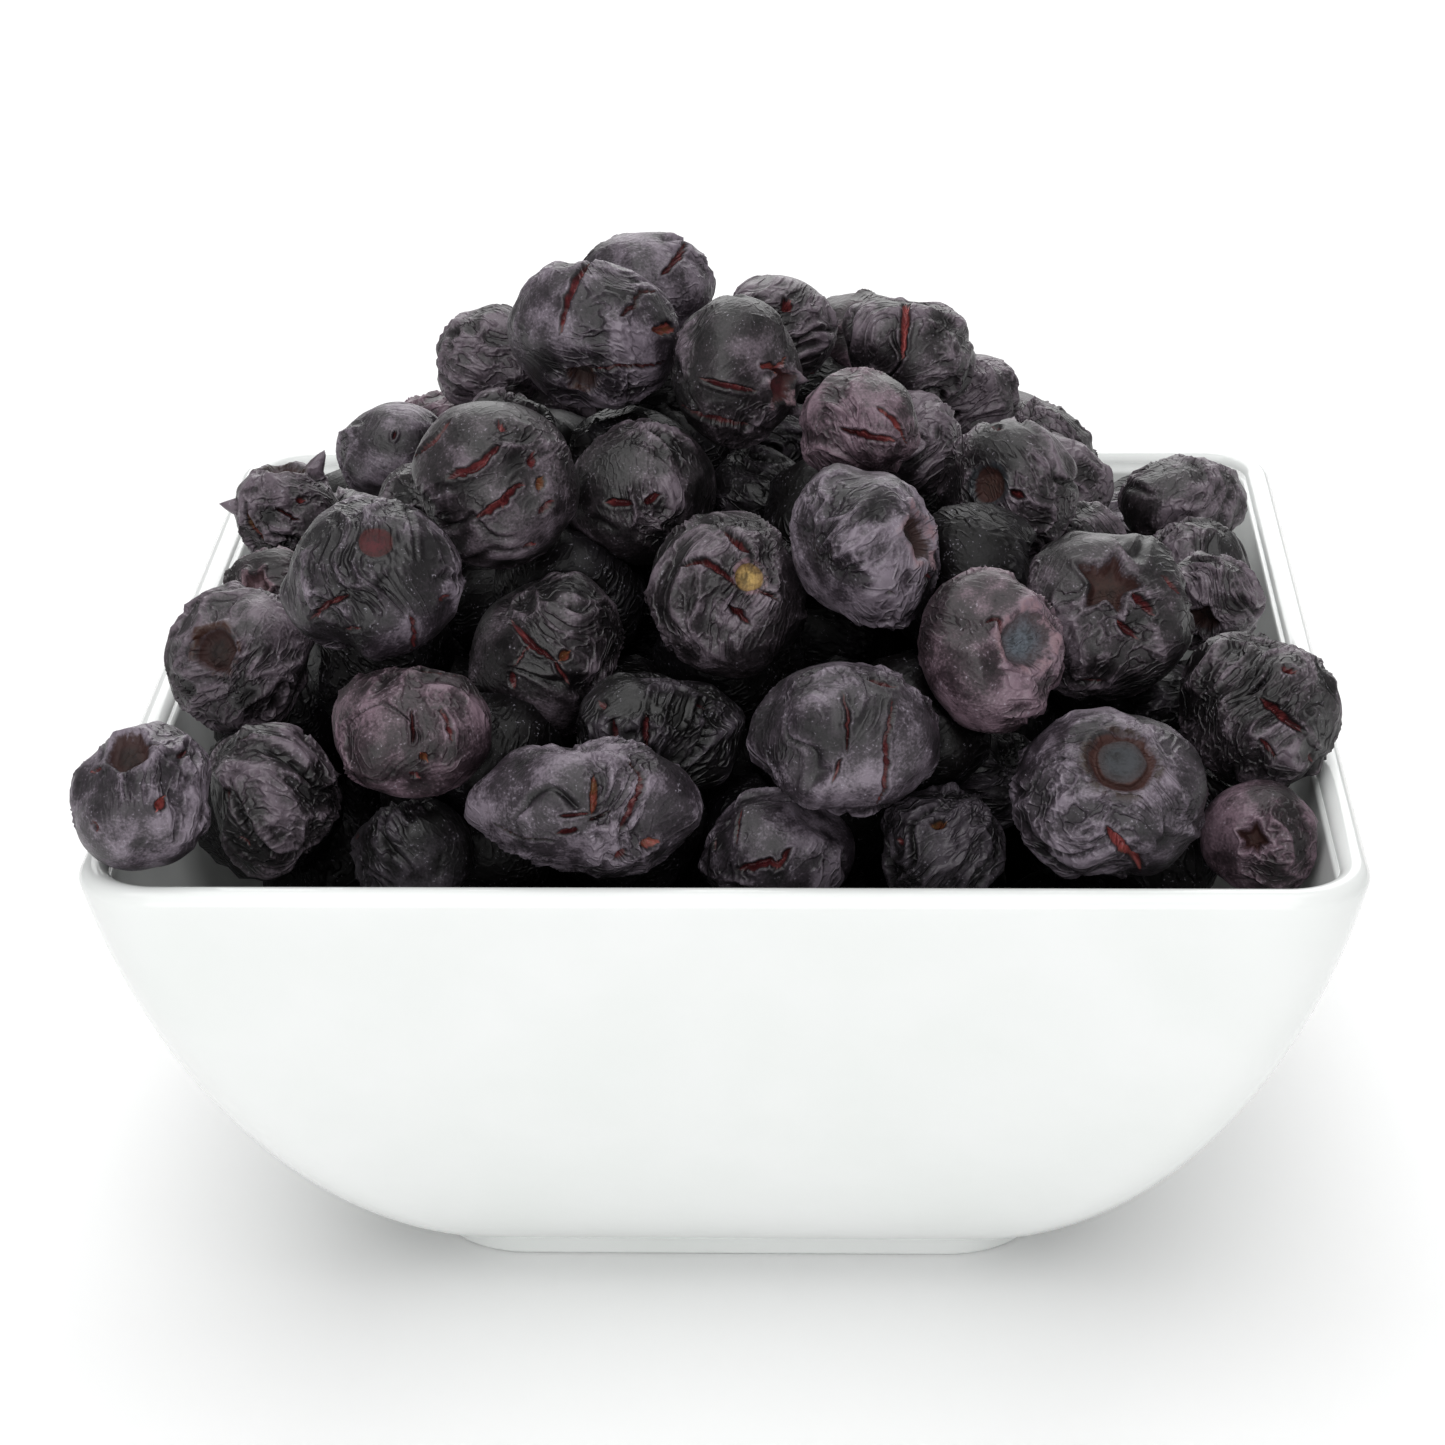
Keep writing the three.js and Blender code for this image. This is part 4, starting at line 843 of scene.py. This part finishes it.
def berry_material(name, dark, middling, pale, gloss):
    """Dried blueberry skin: near black with a dull sheen, and dusty blue grey or mauve where waxy bloom is
    left, in blotches. Crests are painted paler, partly for bloom and partly as a painted highlight, and
    folds darker as painted shade. dark, middling and pale are its colours with no bloom, some and all. gloss
    is its specular level, 0.5 for bare skin and less for skin deep in the heap."""
    material, tree, shader = new_material(name)
    place = add(tree, "ShaderNodeTexCoord").outputs["Object"]

    def pattern(attribute, output="Fac"):
        return add(tree, "ShaderNodeAttribute", attribute_name=attribute).outputs[output]

    def math_of(operation, *values):
        return add(tree, "ShaderNodeMath", dict(enumerate(values)), operation=operation).outputs["Value"]

    def ramp(value, low, high, start=0.0, end=1.0):
        inputs = {"Value": value, "From Min": low, "From Max": high, "To Min": start, "To Max": end}
        return add(tree, "ShaderNodeMapRange", inputs).outputs["Result"]

    def mix(share, first, second):
        inputs = {"Fac": share, "Color1": first, "Color2": second}
        return add(tree, "ShaderNodeMixRGB", inputs).outputs["Color"]

    # Pores and dust of 0.2 mm, blotches of 1 mm where bloom is rubbed off, and the finest wrinkles, 1 mm
    # apart, whose crests are painted paler, partly for bloom and partly as a painted highlight. Real pores
    # are finer, but would only blur from here.
    finish = add(tree, "ShaderNodeSeparateXYZ", {"Vector": pattern("finish", "Vector")}).outputs
    grain = add(tree, "ShaderNodeTexNoise", {"Vector": place, "Scale": 4800, "Detail": 2}).outputs["Fac"]
    blotch = add(tree, "ShaderNodeTexNoise",
                 {"Vector": place, "Scale": 850, "Detail": 4, "Roughness": 0.65}).outputs["Fac"]
    flow = pattern("flow", "Vector")
    lines = add(tree, "ShaderNodeTexNoise",
                {"Vector": flow, "Scale": 1.1, "Detail": 1, "Roughness": 0.5}).outputs["Fac"]
    crests = ramp(math_of("ABSOLUTE", math_of("SUBTRACT", lines, 0.5)), 0.0, 0.09, 1, 0)
    crests = math_of("MULTIPLY", crests, ramp(finish["Z"], 0.0, 1.0, 0.15, 1.0))
    # Painted highlight and shade: the skin's rise makes crests and ridges paler and folds darker, on top of
    # its bloom.
    light = math_of("MULTIPLY_ADD", finish["Y"], 1.2, math_of("MULTIPLY", finish["X"], 0.8))
    light = math_of("MULTIPLY_ADD", blotch, 1.15, light)
    light = math_of("MULTIPLY_ADD", grain, 0.8, light)
    light = math_of("MULTIPLY_ADD", crests, 0.3, light)
    light = math_of("SUBTRACT", light, 0.92)
    skin = add(tree, "ShaderNodeValToRGB", {"Fac": light}, stops=[
        (0.1, linear(dark)), (1.0, linear(pale)), (0.5, linear(middling))]).outputs["Color"]
    speck = math_of("MULTIPLY", ramp(grain, 0.64, 0.7), ramp(blotch, 0.48, 0.6, 0, 0.6))
    skin = mix(speck, skin, linear("#9a96a0"))

    # Splits, open to the dark red flesh. The flesh is painted darker towards the sides, and the skin near
    # black
    # along the edge where it curls over: painted shade down in the crack.
    split = add(tree, "ShaderNodeSeparateXYZ", {"Vector": pattern("split", "Vector")})
    inner = math_of("SUBTRACT", split.outputs["Z"], math_of("ABSOLUTE", split.outputs["X"]))
    near = ramp(math_of("SUBTRACT", split.outputs["Y"], split.outputs["Z"]), 0.08, 0.3, 1, 0)
    is_open = math_of("MULTIPLY", ramp(inner, -0.03, 0.04), near)
    painted_edge_shade = math_of("MULTIPLY", ramp(inner, -0.2, 0.0, 0, 0.8), near)
    flesh_tone = math_of("MULTIPLY_ADD", math_of("SUBTRACT", blotch, 0.5), 1.0, pattern("split_tone"))
    # At tone 0 the flesh is near black: painted shade for flesh deep in a narrow crack.
    flesh = add(tree, "ShaderNodeValToRGB", {"Fac": flesh_tone}, stops=[
        (0.0, linear("#150b0c")), (1.0, linear("#80603f")), (0.3, linear("#5a2226")),
        (0.6, linear("#a0504f")), (0.8, linear("#70402a"))]).outputs["Color"]
    # Painted shade: the flesh darkens towards the crack's sides.
    flesh = mix(ramp(inner, 0.0, 0.16, 0.4, 1.0), linear("#0e0708"), flesh)
    colour = mix(is_open, mix(painted_edge_shade, skin, linear("#0c0a0c")), flesh)

    # The crown's or the stem's scar: brown, red, grey or straw, with a broken rim of its own, and a brown
    # moat round a dried disc
    mark = add(tree, "ShaderNodeSeparateXYZ", {"Vector": pattern("mark", "Vector")})
    on_mark = math_of("MULTIPLY_ADD", math_of("SUBTRACT", blotch, 0.5), 0.3, mark.outputs["X"])
    scar_stops = [
        (0.0, linear("#100b0a")), (1.0, linear("#b8985a")), (0.25, linear("#3a2018")),
        (0.5, linear("#4c151c")), (DISC_TONE, linear("#303337")), (0.78, linear("#59616a")),
        (0.85, linear("#80676f"))]
    floor_colour, rim_colour = [
        add(tree, "ShaderNodeValToRGB", {"Fac": mark.outputs[part]}, stops=scar_stops).outputs["Color"]
        for part in "YZ"]
    floor_colour = mix(ramp(math_of("MULTIPLY_ADD", grain, 0.5, blotch), 0.6, 0.85, 0.3, 1.0),
                       linear("#0d0909"), floor_colour)
    is_disc = math_of("COMPARE", mark.outputs["Y"], DISC_TONE, 0.03)
    floor_colour = mix(math_of("MULTIPLY", is_disc, ramp(on_mark, 0.68, 0.76, 0, 0.9)), floor_colour,
                       linear("#3a1d12"))
    floor_colour = mix(ramp(on_mark, 0.4, 0.95, 0, 0.55), floor_colour, linear("#3c1a17"))
    colour = mix(ramp(on_mark, 0.93, 1.0, 0.97, 0), colour, floor_colour)
    on_rim = math_of("MULTIPLY", ramp(on_mark, 0.95, 1.02), ramp(on_mark, 1.12, 1.3, 1, 0))
    has_rim = math_of("MULTIPLY", on_rim, ramp(mark.outputs["Z"], 0.0, 0.05))
    colour = mix(math_of("MULTIPLY", has_rim, ramp(blotch, 0.44, 0.56)), colour, rim_colour)

    # The finest wrinkles and pores, up to 0.16 mm deep, and the floor of a scar is duller than the skin
    relief = math_of("MULTIPLY_ADD", blotch, 0.5, crests)
    relief = math_of("MULTIPLY", relief, ramp(on_mark, 0.8, 1.1, 0.4, 1.0))
    relief = math_of("MULTIPLY_ADD", grain, 0.1, relief)
    bump = add(tree, "ShaderNodeBump", {"Height": relief, "Strength": 1.0, "Distance": 0.16 * MM})
    tree.links.new(colour, shader.inputs["Base Color"])
    tree.links.new(bump.outputs["Normal"], shader.inputs["Normal"])
    tree.links.new(ramp(on_mark, 0.85, 1.1, 0.75, 0.42), shader.inputs["Roughness"])
    shader.inputs["Specular IOR Level"].default_value = gloss
    return material


# The finishes: most skins are charcoal with some bloom, some have kept more of it, some are tinged red by
# their juice, and those in the gaps and deep in the heap are darker copies: painted shade for the others'
# shadow.
SKINS = {
    "charcoal": berry_material("dried blueberry skin, charcoal", "#100d0f", "#2d272b", "#6a5f68", 0.5),
    "bloomed": berry_material("dried blueberry skin, bloomed", "#151215", "#342d34", "#796f7a", 0.5),
    "rosy": berry_material("dried blueberry skin, rosy", "#171013", "#362a30", "#76626d", 0.45),
    # Painted shade: the shaded and hidden skins are darker copies of the skin, for berries lying in shade.
    "shaded": berry_material("dried blueberry skin, painted shade", "#080707", "#1a171a", "#453f46", 0.45),
    "hidden": berry_material("dried blueberry skin, painted shade deep in the heap", "#050404", "#0c0a0b", "#19171a", 0.2),
}


def berry_piece(name, berries, node, material, rings, turns):
    """One object of one or more berries, in the place of their node."""
    grown = [berry_mesh(berry, rings, turns) for berry in berries]
    starts = np.cumsum([0] + [len(points) for points, _, _ in grown])
    faces = [tuple(c + start for c in face) for (_, own, _), start in zip(grown, starts) for face in own]
    piece = new_piece(name, np.concatenate([points for points, _, _ in grown]), faces, material)
    for attribute in grown[0][2]:
        values = np.concatenate([patterns[attribute] for _, _, patterns in grown])
        kind, field = ("FLOAT", "value") if values.ndim == 1 else ("FLOAT_VECTOR", "vector")
        made = piece.data.attributes.new(attribute, kind, "POINT")
        made.data.foreach_set(field, values.ravel())
    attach(piece, "root")
    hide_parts(node)


# The berries out of sight: a row pressed together along the back rim, and all those under the heap, which
# lie in layers over what room there is. Each berry that nothing carries yet gets one more under it, and
# another closes the gap behind those at the peak.
ROW_COUNT = 5
ROW_SPACING = 11.4
ROW_PLACE = (38.5, 46)
ROW_HALF = (6.9, 6.6, 6.7)
ROW_TURN = 2.1
# height, how many berries each way, and how far out the outermost middles lie
HIDDEN_LAYERS = ((12.6, 4, 22), (20.8, 4, 27), (30.2, 5, 32), (39.2, 6, 36.5), (48, 5, 28), (56.6, 4, 19))
HIDDEN_HALF = 6.5
SEAT_DEPTH = 5.8
SEAT_CLEARANCE = 7
LAYER_CLEARANCE = 9.6
PEAK_FILLER = np.array([6, 15, 57])
PEAK_CLEARANCE = 4
CAVITY_SPARE = np.array([1.1, 1.1, 1])


def plain_berry(middle, half, crown, seed, hidden):
    """A berry without splits or a crown, drawn closest on its side away from the heap's core."""
    middle = np.array(middle, float)
    away = middle - HEAP_CORE
    return dict(
        middle=middle, half=np.array(half, float), axes=own_axes(crown), seed=seed,
        wrinkles=0.3 if hidden else 0.6, facing=away / np.linalg.norm(away), hidden=hidden)


row = []
for i in range(ROW_COUNT):
    crown = (math.cos(i * ROW_TURN), 2, 1 + math.sin(i * ROW_TURN))
    middle = ((i - (ROW_COUNT - 1) / 2) * ROW_SPACING, *ROW_PLACE)
    row.append(plain_berry(middle, ROW_HALF, crown, len(BERRIES) + 1 + i, False))
shown = [*BERRIES.values(), *row]
hidden = []


def add_where_free(middle, clearance):
    """Adds a hidden berry if it fits the cavity or lies over it, and is clear of all that show."""
    fits = middle[2] > LIP_HEIGHT or clears_bowl(middle[None] * CAVITY_SPARE)[0]
    if fits and all(np.linalg.norm(other["middle"] - middle) > clearance for other in shown):
        index = len(shown) + 1 + len(hidden)
        crown = (2 * math.sin(index), 2 * math.cos(index), 1)
        hidden.append(plain_berry(middle, [HIDDEN_HALF] * 3, crown, index, True))


def seat_distance(berry, way):
    """How far out along a way a hidden berry's middle may lie to carry a berry: its half size that way,
    |h (axes way)|, and the seat's depth."""
    return np.linalg.norm(berry["half"] * (berry["axes"] @ way)) + SEAT_DEPTH


for height, across, reach in HIDDEN_LAYERS:
    for y in np.linspace(-reach, reach, across):
        for x in np.linspace(-reach, reach, across):
            add_where_free(np.array([x, y, height]), LAYER_CLEARANCE)
add_where_free(PEAK_FILLER, PEAK_CLEARANCE)
for berry in shown:
    arms = [other["middle"] - berry["middle"] for other in hidden]
    if not any(np.linalg.norm(arm) < seat_distance(berry, arm / np.linalg.norm(arm)) for arm in arms):
        inward = HEAP_CORE - berry["middle"]
        inward /= np.linalg.norm(inward)
        add_where_free(berry["middle"] + inward * seat_distance(berry, inward), SEAT_CLEARANCE)
every_berry = shown + hidden

# Rings and turns of points: 0.2 to 0.3 mm apart where the camera sees cracks and scars, and fewer elsewhere
CLOSE_GRID = (84, 112)
PLAIN_GRID = (56, 74)
HIDDEN_GRID = (14, 20)
for name, berry in BERRIES.items():
    is_close = "splits" in berry or ("mark" in berry and not name.startswith("back"))
    grid = CLOSE_GRID if is_close else PLAIN_GRID
    berry_piece("berry_" + name, [berry], "berry_" + name, SKINS[berry["skin"]], *grid)
berry_piece("berries_back_row", row, "berries_back_row", SKINS["charcoal"], *PLAIN_GRID)
for name in ("front", "back"):
    group = [berry for berry in hidden if (berry["middle"][1] < 0) == (name == "front")]
    berry_piece("berries_under_" + name, group, "berries_under_" + name, SKINS["hidden"], *HIDDEN_GRID)
